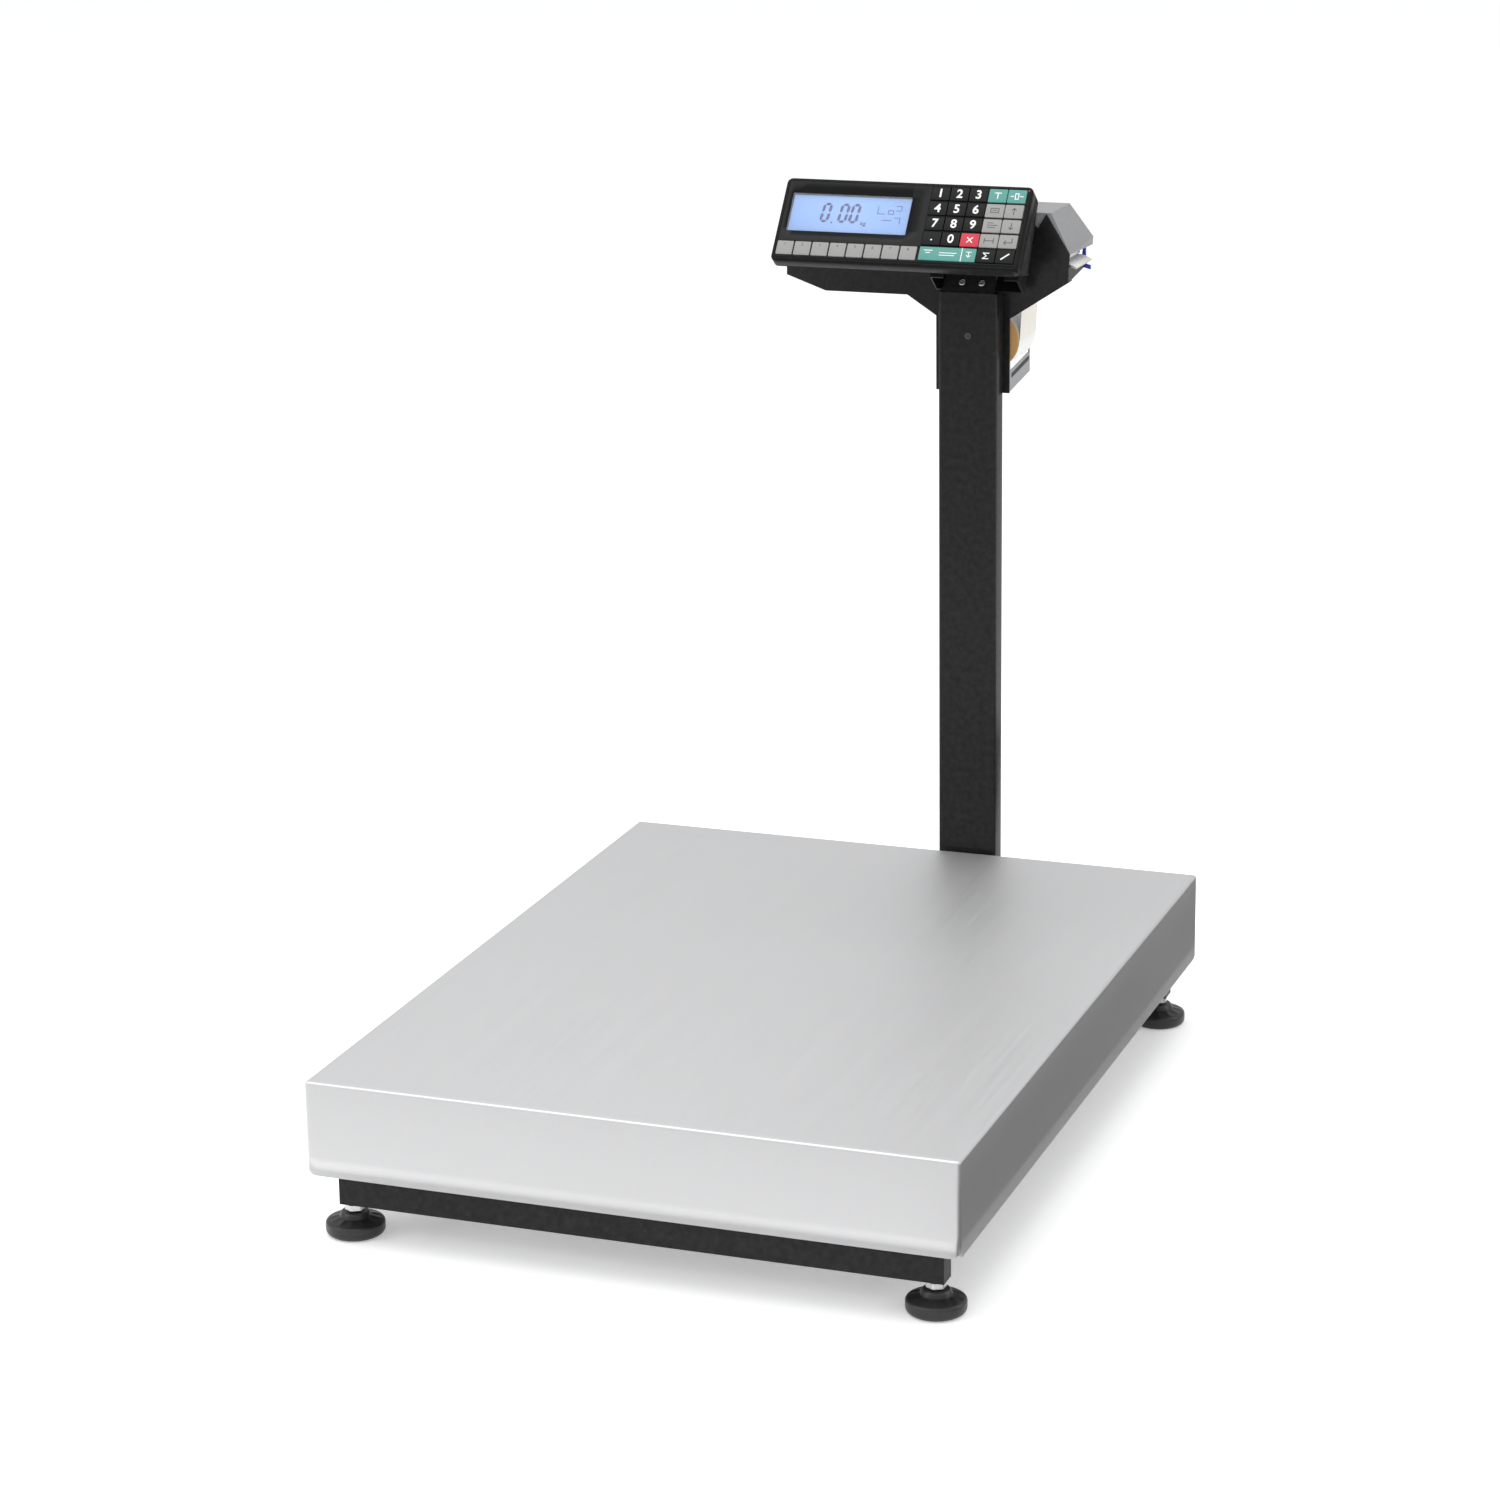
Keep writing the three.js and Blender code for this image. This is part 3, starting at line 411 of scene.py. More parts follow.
def brushed(name, base, rough, stretch, coordinates="Object", bump=0.06, streak=0.05, scale=1.0):
    """Brushed metal: noise drawn out along the grain, in two widths, for tone, gloss and relief."""
    material, tree, shader = new_material(name, {"Metallic": 1.0})
    where = tree.nodes.new("ShaderNodeTexCoord").outputs[coordinates]
    mapping = node(tree, "ShaderNodeMapping", [("Vector", where)], Scale=stretch)
    lines = node(
        tree, "ShaderNodeTexNoise", [("Vector", mapping.outputs[0])], Scale=1500.0 * scale, Detail=2.0
    )
    bands = node(
        tree, "ShaderNodeTexNoise", [("Vector", mapping.outputs[0])], Scale=210.0 * scale, Detail=3.0
    )
    clouds = node(tree, "ShaderNodeTexNoise", [("Vector", where)], Scale=3.5, Detail=3.0)
    wide = math_node(tree, "MULTIPLY", bands.outputs[0], 0.4)
    both = math_node(tree, "MULTIPLY_ADD", lines.outputs[0], 0.6, wide)
    dark = tuple(c * (1 - streak) for c in base)
    light = tuple(min(c * (1 + streak), 1) for c in base)
    colour = mix_node(tree, both, dark, light)
    cloudy = tuple(c * 0.965 for c in base)
    colour = mix_node(tree, math_node(tree, "MULTIPLY", clouds.outputs[0], 0.5), colour, cloudy)
    tree.links.new(colour, shader.inputs["Base Color"])
    gloss = math_node(tree, "MULTIPLY_ADD", both, 0.18, rough - 0.09)
    tree.links.new(gloss, shader.inputs["Roughness"])
    add_relief(tree, shader, both, bump)
    return material


stainless = brushed(
    "brushed_stainless", (0.71, 0.71, 0.715), 0.52, (1.0, 0.012, 1.0), coordinates="UV"
)

half_x = (pan_high.x - pan_low.x) / 2
half_y = (pan_high.y - pan_low.y) / 2
skirt = pan_high.z - pan_low.z


def pan_shell():
    """Section of the fold, carried round the pan: flat top, quarter bend, straight skirt.  Near
    each corner the skirt's lower edge follows a quarter circle upwards."""
    ring, normal = rounded_ring(half_x, half_y, PAN_CORNER, 6)
    corners = len(ring) // 4
    pieces, normals = [], []
    for side in range(4):
        at = slice(side * corners, (side + 1) * corners)
        pieces.append(ring[at])
        normals.append(normal[at])
        start, end = ring[at][-1], ring[((side + 1) * corners) % len(ring)]
        span = np.linalg.norm(end - start)
        near = np.concatenate([np.linspace(0, SKIRT_CORNER * 1.2, 9)[1:], [0.2 * span, 0.5 * span]])
        reach = np.concatenate([near, (span - near[::-1])[1:]])[:, None]
        pieces.append(start + (end - start) * reach / span)
        normals.append(np.repeat(normal[at][-1:], len(reach), 0))
    ring, normal = np.concatenate(pieces), np.concatenate(normals)
    edge_gap = np.stack([half_x - np.abs(ring[:, 0]), half_y - np.abs(ring[:, 1])], 1)
    from_corner = np.sqrt((edge_gap**2).sum(1))
    lift = np.clip(SKIRT_CORNER - from_corner, 0, SKIRT_CORNER)
    rise = SKIRT_CORNER - np.sqrt(np.maximum(SKIRT_CORNER**2 - lift**2, 0))
    bend = np.linspace(0, math.pi / 2, 7)
    share = np.array([0.002, 0.4, 0.8, 0.985, *np.ones(len(bend) + 3)])
    inset = np.concatenate([np.full(4, PAN_BEND), PAN_BEND * (1 - np.sin(bend)), [0, 0, 0]])
    drop = np.concatenate([np.zeros(4), PAN_BEND * (1 - np.cos(bend))])
    depth = skirt - rise
    lower = [0.35 * depth, 0.8 * depth, depth]
    drops = np.concatenate([np.repeat(drop[:, None], len(ring), 1), np.stack(lower)])
    flat = (ring[None] - inset[:, None, None] * normal[None]) * share[:, None, None]
    points = np.dstack([flat + [pan_middle.x, pan_middle.y], pan_high.z - drops])
    fold = drops + 0 * flat[..., 0]
    unfolded = flat + fold[..., None] * normal[None]
    return points, unfolded


points, unfolded = pan_shell()
pan = surface("platform_pan", points, wrap=(False, True), close=(0,), uv=unfolded)
thicken(pan, "sheet", SHEET)
keep(pan, "platform", stainless, ["platform_cover"])

# ---- frames, bracket and load cell ---------------------------------------------------------------
# Welded channel frames in black powder coat; the beam cell between them is bare machined aluminium.


def eased(name, cad_node, width, segments=2, angle=25):
    """A merged copy of a CAD node with its edges rounded by a narrow bevel."""
    work = bmesh.new()
    work.from_mesh(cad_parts[cad_node].data)
    bmesh.ops.remove_doubles(work, verts=work.verts, dist=2e-6)
    bmesh.ops.dissolve_limit(
        work, angle_limit=math.radians(0.5), verts=work.verts, edges=work.edges
    )
    bmesh.ops.recalc_face_normals(work, faces=work.faces)
    mesh = bpy.data.meshes.new(name)
    work.to_mesh(mesh)
    work.free()
    piece = settle(mesh, angle)
    bevel = piece.modifiers.new("eased", "BEVEL")
    bevel.width = width
    bevel.segments = segments
    bevel.limit_method = "ANGLE"
    bevel.angle_limit = math.radians(angle)
    bevel.harden_normals = True
    return piece


powder = coated(
    "black_powder_coat",
    (0.0045, 0.0043, 0.0048),
    0.45,
    scale=1400,
    bump=0.015,
    tone=0.03,
    worn=0.1,
    dusty=0.003,
    specular=0.02,
    coat=0.3,
)
machined = brushed("machined_aluminium", (0.72, 0.73, 0.74), 0.34, (1.0, 0.05, 1.0))
for name, width in (("base_frame", 0.0012), ("load_frame", 0.0012), ("column_bracket", 0.001)):
    keep(eased(name + "_welded", name, width), "stand", powder, [name])
keep(eased("load_cell_block", "load_cell", 0.0006), "stand", machined, ["load_cell"])

# ---- levelling feet ------------------------------------------------------------------------------
# Moulded pads with a ribbed dome round a boss, on M10 zinc studs that screw into the base frame and
# are held by a lock nut under it.

FOOT_STEPS = 96


def lathe(name, profile, centre, axis=(0, 0, 1), steps=48, shape=None, close=(0, -1), angle=32):
    """A profile of (radius, height) turned about an axis.  shape, if given, changes the radius and
    height of each point: shape(radius, height, turn) gives both arrays."""
    profile = np.asarray(profile, float)
    turn = np.linspace(0, 2 * math.pi, steps, endpoint=False)
    radius = np.repeat(profile[:, :1], steps, 1)
    height = np.repeat(profile[:, 1:], steps, 1)
    if shape:
        radius, height = shape(radius, height, turn[None, :])
    local = np.stack([radius * np.cos(turn), radius * np.sin(turn), height], 2)
    rotation = np.array(Vector(axis).to_track_quat("Z", "X").to_matrix())
    points = local @ rotation.T + np.array(centre)
    return outward(surface(name, points, wrap=(False, True), close=close, angle=angle))


def foot_profile():
    """Flat sole, round lower edge, upright rim, then a dome that falls in to the boss."""
    arc = np.linspace(-math.pi / 2, 0, 7)
    low = np.stack([0.0215 + 0.005 * np.cos(arc), 0.005 + 0.005 * np.sin(arc)], 1)
    rim = np.linspace(0, math.pi * 0.45, 6)
    top = np.stack([0.0235 + 0.003 * np.cos(rim), 0.0100 + 0.003 * np.sin(rim)], 1)
    reach = np.linspace(0, 1, 9)[1:]
    dome = np.stack([0.0236 - 0.0096 * reach, 0.0130 + 0.0034 * reach**0.7], 1)
    boss = np.array([(0.0136, 0.0172), (0.0128, 0.0198), (0.0118, 0.0208), (0.0066, 0.0210)])
    return np.concatenate([low, top, dome, boss])


def foot_ribs(radius, height, turn):
    """Low ribs on the dome: the height rises and falls with the turn between boss and rim."""
    on_dome = np.clip((radius - 0.0140) / 0.002, 0, 1) * np.clip((0.0234 - radius) / 0.002, 0, 1)
    on_dome = on_dome * (height > 0.012)
    return radius, height - 0.0007 * on_dome * (0.5 + 0.5 * np.cos(turn * 12)) ** 0.5


def thread(radius, height, turn):
    """A screw thread of 1.5 mm pitch: the radius is a triangle wave of height and turn."""
    phase = (height / 0.0015 - turn / (2 * math.pi)) % 1.0
    inside = (height > height.min() + 0.0002) & (height < height.max() - 0.0002)
    return radius - 0.0009 * np.abs(phase * 2 - 1) * inside, height


def hexagon(radius, height, turn):
    """A six-sided outline from a round one: radius over the cosine of the turn from a flat."""
    flat = (turn + math.pi / 6) % (math.pi / 3) - math.pi / 6
    chamfer = np.minimum(radius / np.cos(flat), 0.0091)
    return np.where(radius > 0.0068, chamfer, radius), height


foot_plastic = coated(
    "foot_plastic", (0.011, 0.011, 0.012), 0.36, scale=700, bump=0.1, worn=0.3, dusty=0.14, specular=0.5
)
zinc = coated(
    "zinc_plate",
    (0.62, 0.62, 0.61),
    0.34,
    metal=1.0,
    scale=500,
    bump=0.06,
    tone=0.1,
    dusty=0.1,
    worn=0.2,
    worn_colour=(0.8, 0.8, 0.8),
)
base_low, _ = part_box("base_frame")
for corner in ("front_left", "front_right", "back_left", "back_right"):
    low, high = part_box("foot_" + corner)
    x, y = (low.x + high.x) / 2, (low.y + high.y) / 2
    body = "foot_" + corner
    pad = lathe("foot_pad_" + corner, foot_profile(), (x, y, 0), steps=FOOT_STEPS, shape=foot_ribs)
    keep(pad, body, foot_plastic, [body])
    stud_height = np.linspace(0.0195, high.z - 0.0005, 150)
    stud_profile = np.stack([np.full(150, 0.0049), stud_height], 1)
    stud = lathe("foot_stud_" + corner, stud_profile, (x, y, 0), steps=20, shape=thread)
    keep(stud, body, zinc)
    nut_low, nut_high = base_low.z - 0.0068, base_low.z - 0.0003
    nut_profile = [
        (0.0053, nut_low),
        (0.0076, nut_low),
        (0.0083, nut_low + 0.0008),
        (0.0083, nut_high - 0.0008),
        (0.0076, nut_high),
        (0.0053, nut_high),
        (0.0053, nut_low),
    ]
    nut = lathe(
        "foot_nut_" + corner, nut_profile, (x, y, 0), steps=72, shape=hexagon, close=(), angle=20
    )
    keep(nut, "stand", zinc)

# ---- column --------------------------------------------------------------------------------------
# Rectangular steel tube in the same powder coat.  Its front wall is cut free at the top and folded
# back as a tab; two screws go through the tab into the terminal's saddle.

TILT = math.radians(38)
TUBE_CORNER = 0.0034
TUBE_WALL = 0.002
TAB_LENGTH = 0.033
TAB_HALF = 0.027
column_low, column_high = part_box("column")
tube_x = (column_low.x + column_high.x) / 2
tube_half_x = (column_high.x - column_low.x) / 2
tube_front = column_low.y
tube_half_y = 0.0125
tube_top = column_high.z - TAB_LENGTH * math.cos(TILT)


def outline_rows(ring, normal, levels, middle=(0, 0)):
    """An outline at several levels: each (inset, height) moves it inwards and sets its height."""
    rows = [(ring - inset * normal + middle, np.full(len(ring), height)) for inset, height in levels]
    return np.array([np.column_stack(row) for row in rows])


def tube(name, centre, half_a, half_b, radius, wall, low, high, lip=0.0008):
    """A round-cornered rectangular outline carried up, over the top edge and down the inside."""
    outer, normal = rounded_ring(half_a, half_b, radius, 8)
    levels = [(wall, low), (lip, low), (0, low + lip), (0, high - lip)]
    levels += [(lip * 0.3, high - lip * 0.3), (lip, high), (wall, high)]
    points = outline_rows(outer, normal, levels, centre)[::-1]
    return surface(name, points, wrap=(True, True), angle=40)


column = outward(
    tube(
        "column_tube",
        (tube_x, tube_front + tube_half_y),
        tube_half_x,
        tube_half_y,
        TUBE_CORNER,
        TUBE_WALL,
        column_low.z,
        tube_top,
    )
)
keep(column, "stand", powder, ["column"])


def directions(path):
    """Unit directions along a chain of points."""
    ahead = np.gradient(path, axis=0)
    return ahead / np.linalg.norm(ahead, axis=1)[:, None]


def swept(name, lines, angle=32):
    """Lines of equal length side by side, joined round into a closed bar with flat ends."""
    points = np.array(lines).transpose(1, 0, 2)
    return outward(surface(name, points, wrap=(False, True), close=(0, -1), angle=angle))


def strip(name, path, across, width, thick, angle=35):
    """A bent flat strip: path gives the outer face in Y and Z, the strip is thick on the side
    that the path's right-hand normal points to, and runs across X by its width."""
    path = np.asarray(path, float)
    ahead = directions(path)
    side = np.stack([ahead[:, 1], -ahead[:, 0]], 1)
    inner = path + side * thick
    half = width / 2
    ease = min(0.0006, thick / 3)
    section = [(-half, 0, ease), (-half + ease, 0, 0), (half - ease, 0, 0), (half, 0, ease)]
    section += [(half, 1, -ease), (half - ease, 1, 0), (-half + ease, 1, 0), (-half, 1, -ease)]
    rows = []
    for x, on_inner, shift in section:
        yz = (inner if on_inner else path) + side * shift
        rows.append(np.column_stack([np.full(len(yz), across + x), yz]))
    return swept(name, rows, angle)


lean = np.array([math.sin(TILT), math.cos(TILT)])
bend = np.linspace(0, TILT, 8)
BEND_RADIUS = 0.004
root = np.array([tube_front + 0.00005, tube_top - 0.004])
fold = root + BEND_RADIUS * np.stack([1 - np.cos(bend), np.sin(bend)], 1)
tab_end = fold[-1] + lean * (TAB_LENGTH - 0.002)
tab = strip("column_tab", np.concatenate([fold, [tab_end]]), tube_x, 2 * TAB_HALF, 0.0019)
keep(tab, "stand", powder)


def cross_recess(radius, height, turn, reach=0.0016, depth=0.0009):
    """A cross-shaped driver recess: height drops where the point lies near either arm."""
    x, y = radius * np.cos(turn), radius * np.sin(turn)
    arm = np.minimum(np.abs(x), np.abs(y))
    inside = (arm < 0.0004) & (radius < reach) & (height > 0)
    return radius, height - depth * inside


def pan_screw(name, centre, axis, size=0.0036, body="stand", material=None):
    """A pan-head screw: upright edge, rounded crown, cross recess."""
    crown = np.linspace(0, math.pi / 2, 7)
    rise = size * 0.5
    edge = np.stack([size * (0.55 + 0.45 * np.cos(crown)), rise * (0.35 + 0.65 * np.sin(crown))], 1)
    top = np.stack([np.linspace(size * 0.54, 0.00005, 7), np.full(7, rise)], 1)
    profile = np.concatenate([[(size * 0.6, 0.0), (size, 0.0)], edge, top])
    screw = lathe(name, profile, centre, axis, steps=36, shape=cross_recess)
    return keep(screw, body, material or zinc)


tab_normal = np.array([0, -math.cos(TILT), math.sin(TILT)])
for n, x in enumerate((-0.0075, 0.0125)):
    spot = fold[-1] + lean * 0.0125
    pan_screw(f"tab_screw_{n + 1}", (tube_x + x, *(spot)), tab_normal, 0.0034)

plug = lathe(
    "column_plug",
    [(0.0032, 0), (0.0032, 0.0004), (0.0026, 0.0007), (0.0014, 0.0006), (0.0001, 0.0004)],
    (tube_x + 0.001, tube_front - 0.0001, tube_top - 0.043),
    (0, -1, 0),
    steps=32,
)
keep(plug, "stand", foot_plastic)

# ---- head frame ----------------------------------------------------------------------------------
# Laser-cut black sheet that stands behind the column and carries the printer: a tongue screwed to
# the column, two sloping arms and a folded side wall under the label exit.

head = eased("head_frame_sheet", "head_frame", 0.0004)
keep(head, "stand", powder, ["head_frame"])
head_low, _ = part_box("head_frame")
head_back = head_low.y + 0.0020
for n, (x, z) in enumerate(((-0.030, 0.632), (-0.030, 0.684), (0.006, 0.628))):
    pan_screw(f"tongue_screw_{n + 1}", (tube_x + x, head_back, z), (0, 1, 0), 0.0038)

# ---- terminal case -------------------------------------------------------------------------------
# Two moulded halves of black ABS: a flat-faced bezel and a back that is deeper at the bottom.  All of
# it is laid out on the tilted face: u to the right, v up the face, w out of it.

KEY_MIDDLE = -0.00125
F1_AT = (-0.1139, -0.0353)
face_u = np.array([1.0, 0.0, 0.0])
face_v = np.array([0.0, math.sin(TILT), math.cos(TILT)])
face_w = np.array([0.0, -math.cos(TILT), math.sin(TILT)])
f1_low, f1_high = (np.array(v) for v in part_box("key_f1"))
face_zero = (f1_low + f1_high) / 2 - F1_AT[0] * face_u - F1_AT[1] * face_v - KEY_MIDDLE * face_w


def on_face(points):
    """World places of (u, v, w) points: the face's zero plus u, v and w along its three axes."""
    return face_zero + np.asarray(points, float) @ np.array([face_u, face_v, face_w])


CASE_HALF_U, CASE_HALF_V, CASE_MIDDLE_V = 0.127, 0.0465, -0.003
CASE_CORNER = 0.006
RIM = -0.012
FILM_INSET = 0.0036


def carried(name, profile, half_a, half_b, radius, middle, steps=8, angle=40):
    """A closed section of (inset, w) points carried round a rounded rectangle on the face."""
    ring, normal = rounded_ring(half_a, half_b, radius, steps)
    rows = outline_rows(ring, normal, profile, middle)
    return outward(surface(name, on_face(rows), wrap=(True, True), angle=angle))


def quarter(centre, radius, start, end, steps=6):
    """Points on an arc: centre plus radius times (cos a, sin a), a from start to end degrees."""
    turn = np.radians(np.linspace(start, end, steps + 1))
    return [(centre[0] + radius * math.cos(a), centre[1] + radius * math.sin(a)) for a in turn]


bezel_profile = [(FILM_INSET, -0.0016), (FILM_INSET, -0.0003), (FILM_INSET - 0.0003, 0.0)]
bezel_profile += quarter((0.0026, -0.0026), 0.0026, 90, 180)
bezel_profile += [(0.0, RIM + 0.0006), (0.0004, RIM), (0.0025, RIM), (0.0025, -0.0030)]
bezel_profile += [(FILM_INSET, -0.0030)]
shell_plastic = coated(
    "black_abs",
    (0.0030, 0.0031, 0.0031),
    0.42,
    scale=2300,
    bump=0.03,
    tone=0.06,
    worn=0.15,
    dusty=0.012,
    specular=0.08,
)
bezel = carried(
    "terminal_bezel_frame",
    bezel_profile,
    CASE_HALF_U,
    CASE_HALF_V,
    CASE_CORNER,
    (0, CASE_MIDDLE_V),
)
keep(bezel, "stand", shell_plastic, ["terminal_bezel"])


def back_shell(name, rim, edge=0.004, steps=6):
    """The back half: walls from the rim to a depth that depends on v, a rounded edge and a back
    wall.  Depth is 38 mm up to the middle and falls in a straight line to 24 mm at the top.  The
    bottom wall leans in: v rises by the draft, times the share of the depth, times how low v is."""
    ring, normal = rounded_ring(CASE_HALF_U, CASE_HALF_V, CASE_CORNER, 8)
    ring = ring + [0, CASE_MIDDLE_V]
    low = np.clip((-0.0335 - ring[:, 1]) / 0.016, 0, 1)

    def depth(v):
        return CASE_DEPTH - CASE_TAPER * np.clip(v / CASE_TAPER_RISE, 0, 1)

    def leaned(flat, w):
        share = np.clip((w - rim) / (-CASE_DEPTH - rim), 0, 1)
        return np.column_stack([flat[:, 0], flat[:, 1] + CASE_DRAFT * low * share, w])

    rows = [leaned(ring, np.full(len(ring), rim))]
    for a in np.linspace(0, math.pi / 2, steps + 1):
        flat = ring - edge * (1 - math.cos(a)) * normal
        rows.append(leaned(flat, -(depth(flat[:, 1]) - edge * (1 - math.sin(a)))))
    middle = np.array([0, 0.005])
    for share in (0.97, 0.7, 0.35, 0.002):
        flat = (rows[steps + 1][:, :2] - middle) * share + middle
        rows.append(np.column_stack([flat, -depth(flat[:, 1])]))
    made = surface(name, on_face(np.array(rows)), wrap=(False, True), close=(-1,), angle=40)
    return outward(made)


CASE_DRAFT = 0.016
CASE_WALL = 0.0022
CASE_DEPTH, CASE_TAPER, CASE_TAPER_RISE = 0.038, 0.014, 0.0435
back_half = back_shell("terminal_back_shell", RIM - 0.0004)
thicken(back_half, "wall", CASE_WALL)
keep(back_half, "stand", shell_plastic, ["terminal_back"])
for n, (u, v) in enumerate(((-0.112, -0.026), (0.108, -0.006), (-0.112, -0.006), (-0.040, -0.026))):
    place = on_face((u, v, -0.0379))
    pan_screw(f"case_screw_{n + 1}", place, -face_w, 0.0032)

# ---- keypad film, keys and lamp ------------------------------------------------------------------
# A black printed film lies in the bezel's recess, with the display window and the keys let into it.

NUMBER_ROWS = (
    ("key_1", "key_2", "key_3", "key_tare", "key_zero"),
    ("key_4", "key_5", "key_6", "key_code", "key_up"),
    ("key_7", "key_8", "key_9", "key_menu", "key_down"),
    ("key_dot", "key_0", "key_clear", "key_mode", "key_enter"),
    (None, None, None, "key_total", "key_label"),
)
COLUMN_FIRST, COLUMN_STEP, ROW_FIRST, ROW_STEP = 0.0344, 0.0194, 0.0316, 0.0166
KEY_HALF = (0.0094, 0.0074)
KEY_GAP = 0.00035
keys = {}
for row, names in enumerate(NUMBER_ROWS):
    for column, name in enumerate(names):
        if name:
            at = (COLUMN_FIRST + column * COLUMN_STEP, ROW_FIRST - row * ROW_STEP)
            keys[name] = (*at, *KEY_HALF)
for n in range(8):
    keys[f"key_f{n + 1}"] = (F1_AT[0] + 0.0182 * n, F1_AT[1], 0.0085, 0.0075)
keys["key_print"] = (0.0536, ROW_FIRST - 4 * ROW_STEP, 0.02895, KEY_HALF[1])
WINDOW = (-0.0554, 0.0055, 0.0620, 0.0212)


def film_with_openings(name, half_u, half_v, middle_v, openings, level, thick):
    """A flat rectangle cut into cells by every opening's edges; cells inside an opening are left
    out, and what is left is given the film's thickness."""
    cuts_u = [-half_u, half_u] + [e for u, _, a, _ in openings for e in (u - a, u + a)]
    cuts_v = [middle_v - half_v, middle_v + half_v]
    cuts_v += [e for _, v, _, b in openings for e in (v - b, v + b)]
    grid_u, grid_v = np.unique(np.round(cuts_u, 6)), np.unique(np.round(cuts_v, 6))
    centre_u, centre_v = (grid_u[1:] + grid_u[:-1]) / 2, (grid_v[1:] + grid_v[:-1]) / 2
    cell_u, cell_v = np.meshgrid(centre_u, centre_v, indexing="ij")
    inside = np.zeros(cell_u.shape, bool)
    for u, v, a, b in openings:
        inside |= (np.abs(cell_u - u) < a) & (np.abs(cell_v - v) < b)
    i, j = np.nonzero(~inside)
    wide = len(grid_v)
    faces = np.stack([i * wide + j, (i + 1) * wide + j, (i + 1) * wide + j + 1, i * wide + j + 1], 1)
    at_u, at_v = np.meshgrid(grid_u, grid_v, indexing="ij")
    points = np.stack([at_u.ravel(), at_v.ravel(), np.full(at_u.size, level)], 1)
    mesh = bpy.data.meshes.new(name)
    mesh.from_pydata(on_face(points).tolist(), [], faces.tolist())
    piece = settle(mesh, 20)
    thicken(piece, "film", thick)
    return piece


openings = [(u, v, a + KEY_GAP, b + KEY_GAP) for u, v, a, b in keys.values()] + [WINDOW]
film = film_with_openings(
    "keypad_film",
    CASE_HALF_U - FILM_INSET - 0.0001,
    CASE_HALF_V - FILM_INSET - 0.0001,
    CASE_MIDDLE_V,
    openings,
    -0.0002,
    0.0012,
)
film_plastic = coated(
    "printed_film",
    (0.0042, 0.0046, 0.0045),
    0.36,
    scale=3000,
    bump=0.015,
    tone=0.05,
    worn=0.0,
    dusty=0.01,
    specular=0.16,
)
keep(film, "stand", film_plastic)

KEY_COLOURS = {
    "grey": ((0.275, 0.275, 0.265), "grey_key"),
    "green": ((0.085, 0.285, 0.25), "green_key"),
    "red": ((0.52, 0.028, 0.048), "red_key"),
    "black": ((0.0042, 0.0046, 0.0045), "black_key"),
}
key_finish = {
    tint: coated(
        tint + "_key_film",
        colour,
        0.42,
        scale=2600,
        bump=0.05,
        tone=0.05,
        worn=0.0 if tint == "black" else 0.15,
        dusty=0.01,
        worn_colour=tuple(c * 0.6 for c in colour),
        specular=0.14 if tint == "black" else 0.3,
    )
    for tint, (colour, _) in KEY_COLOURS.items()
}
KEY_TINTS = {"key_clear": "red", "key_tare": "green", "key_zero": "green", "key_print": "green"}
KEY_TINTS.update({"key_total": "black", "key_label": "black", "key_dot": "black"})
KEY_TINTS.update({f"key_{n}": "black" for n in range(10)})
key_profile = [(0.0004, -0.0032), (0.0, -0.0030), (0.0, 0.0003)]
key_profile += [(0.0004 * (1 - math.cos(a)), 0.0003 + 0.0004 * math.sin(a)) for a in (0.5, 1.0, 1.57)]
for name, (u, v, a, b) in keys.items():
    ring, normal = rounded_ring(a - 0.0001, b - 0.0001, 0.0009, 4)
    rows = outline_rows(ring, normal, key_profile, (u, v))
    cap = surface("cap_" + name[4:], on_face(rows), wrap=(False, True), close=(0, -1))
    tint = KEY_TINTS.get(name, "grey")
    keep(outward(cap), name, key_finish[tint], [name])

# Marks on the keys are printed: digits from a plain font, other marks drawn as short strokes.
ink = {
    "white": coated("white_ink", (0.80, 0.81, 0.81), 0.5, scale=2500, bump=0.02, tone=0.04, worn=0.0),
    "dark": coated("dark_ink", (0.03, 0.032, 0.034), 0.5, scale=2500, bump=0.02, tone=0.04, worn=0.0),
}
INK_LEVEL = 0.00074


def flat_text(name, text, size, at, level, weight=0.0):
    """A line of text as a flat mesh, its middle at a place on the face."""
    curve = bpy.data.curves.new(name, "FONT")
    curve.body = text
    curve.size = size
    curve.offset = weight
    curve.align_x, curve.align_y = "CENTER", "CENTER"
    holder = bpy.data.objects.new(name + "_curve", curve)
    scene.collection.objects.link(holder)
    bpy.context.view_layer.update()
    evaluated = holder.evaluated_get(bpy.context.evaluated_depsgraph_get())
    mesh = bpy.data.meshes.new_from_object(evaluated)
    mesh.name = name
    bpy.data.objects.remove(holder)
    flat = np.empty(len(mesh.vertices) * 3)
    mesh.vertices.foreach_get("co", flat)
    flat = flat.reshape(-1, 3)
    flat[:, 2] = level
    flat[:, :2] += at
    mesh.vertices.foreach_set("co", on_face(flat).ravel())
    mesh.update()
    return settle(mesh)


def printed(name, shapes, level):
    """Polygons with the same number of corners, laid flat on the face at one level or at one each."""
    flat = np.concatenate(shapes)
    points = np.dstack([flat, np.broadcast_to(level, flat.shape[:2])])
    mesh = bpy.data.meshes.new(name)
    faces = np.arange(points.shape[0] * points.shape[1]).reshape(points.shape[:2])
    mesh.from_pydata(on_face(points.reshape(-1, 3)).tolist(), [], faces.tolist())
    return settle(mesh)


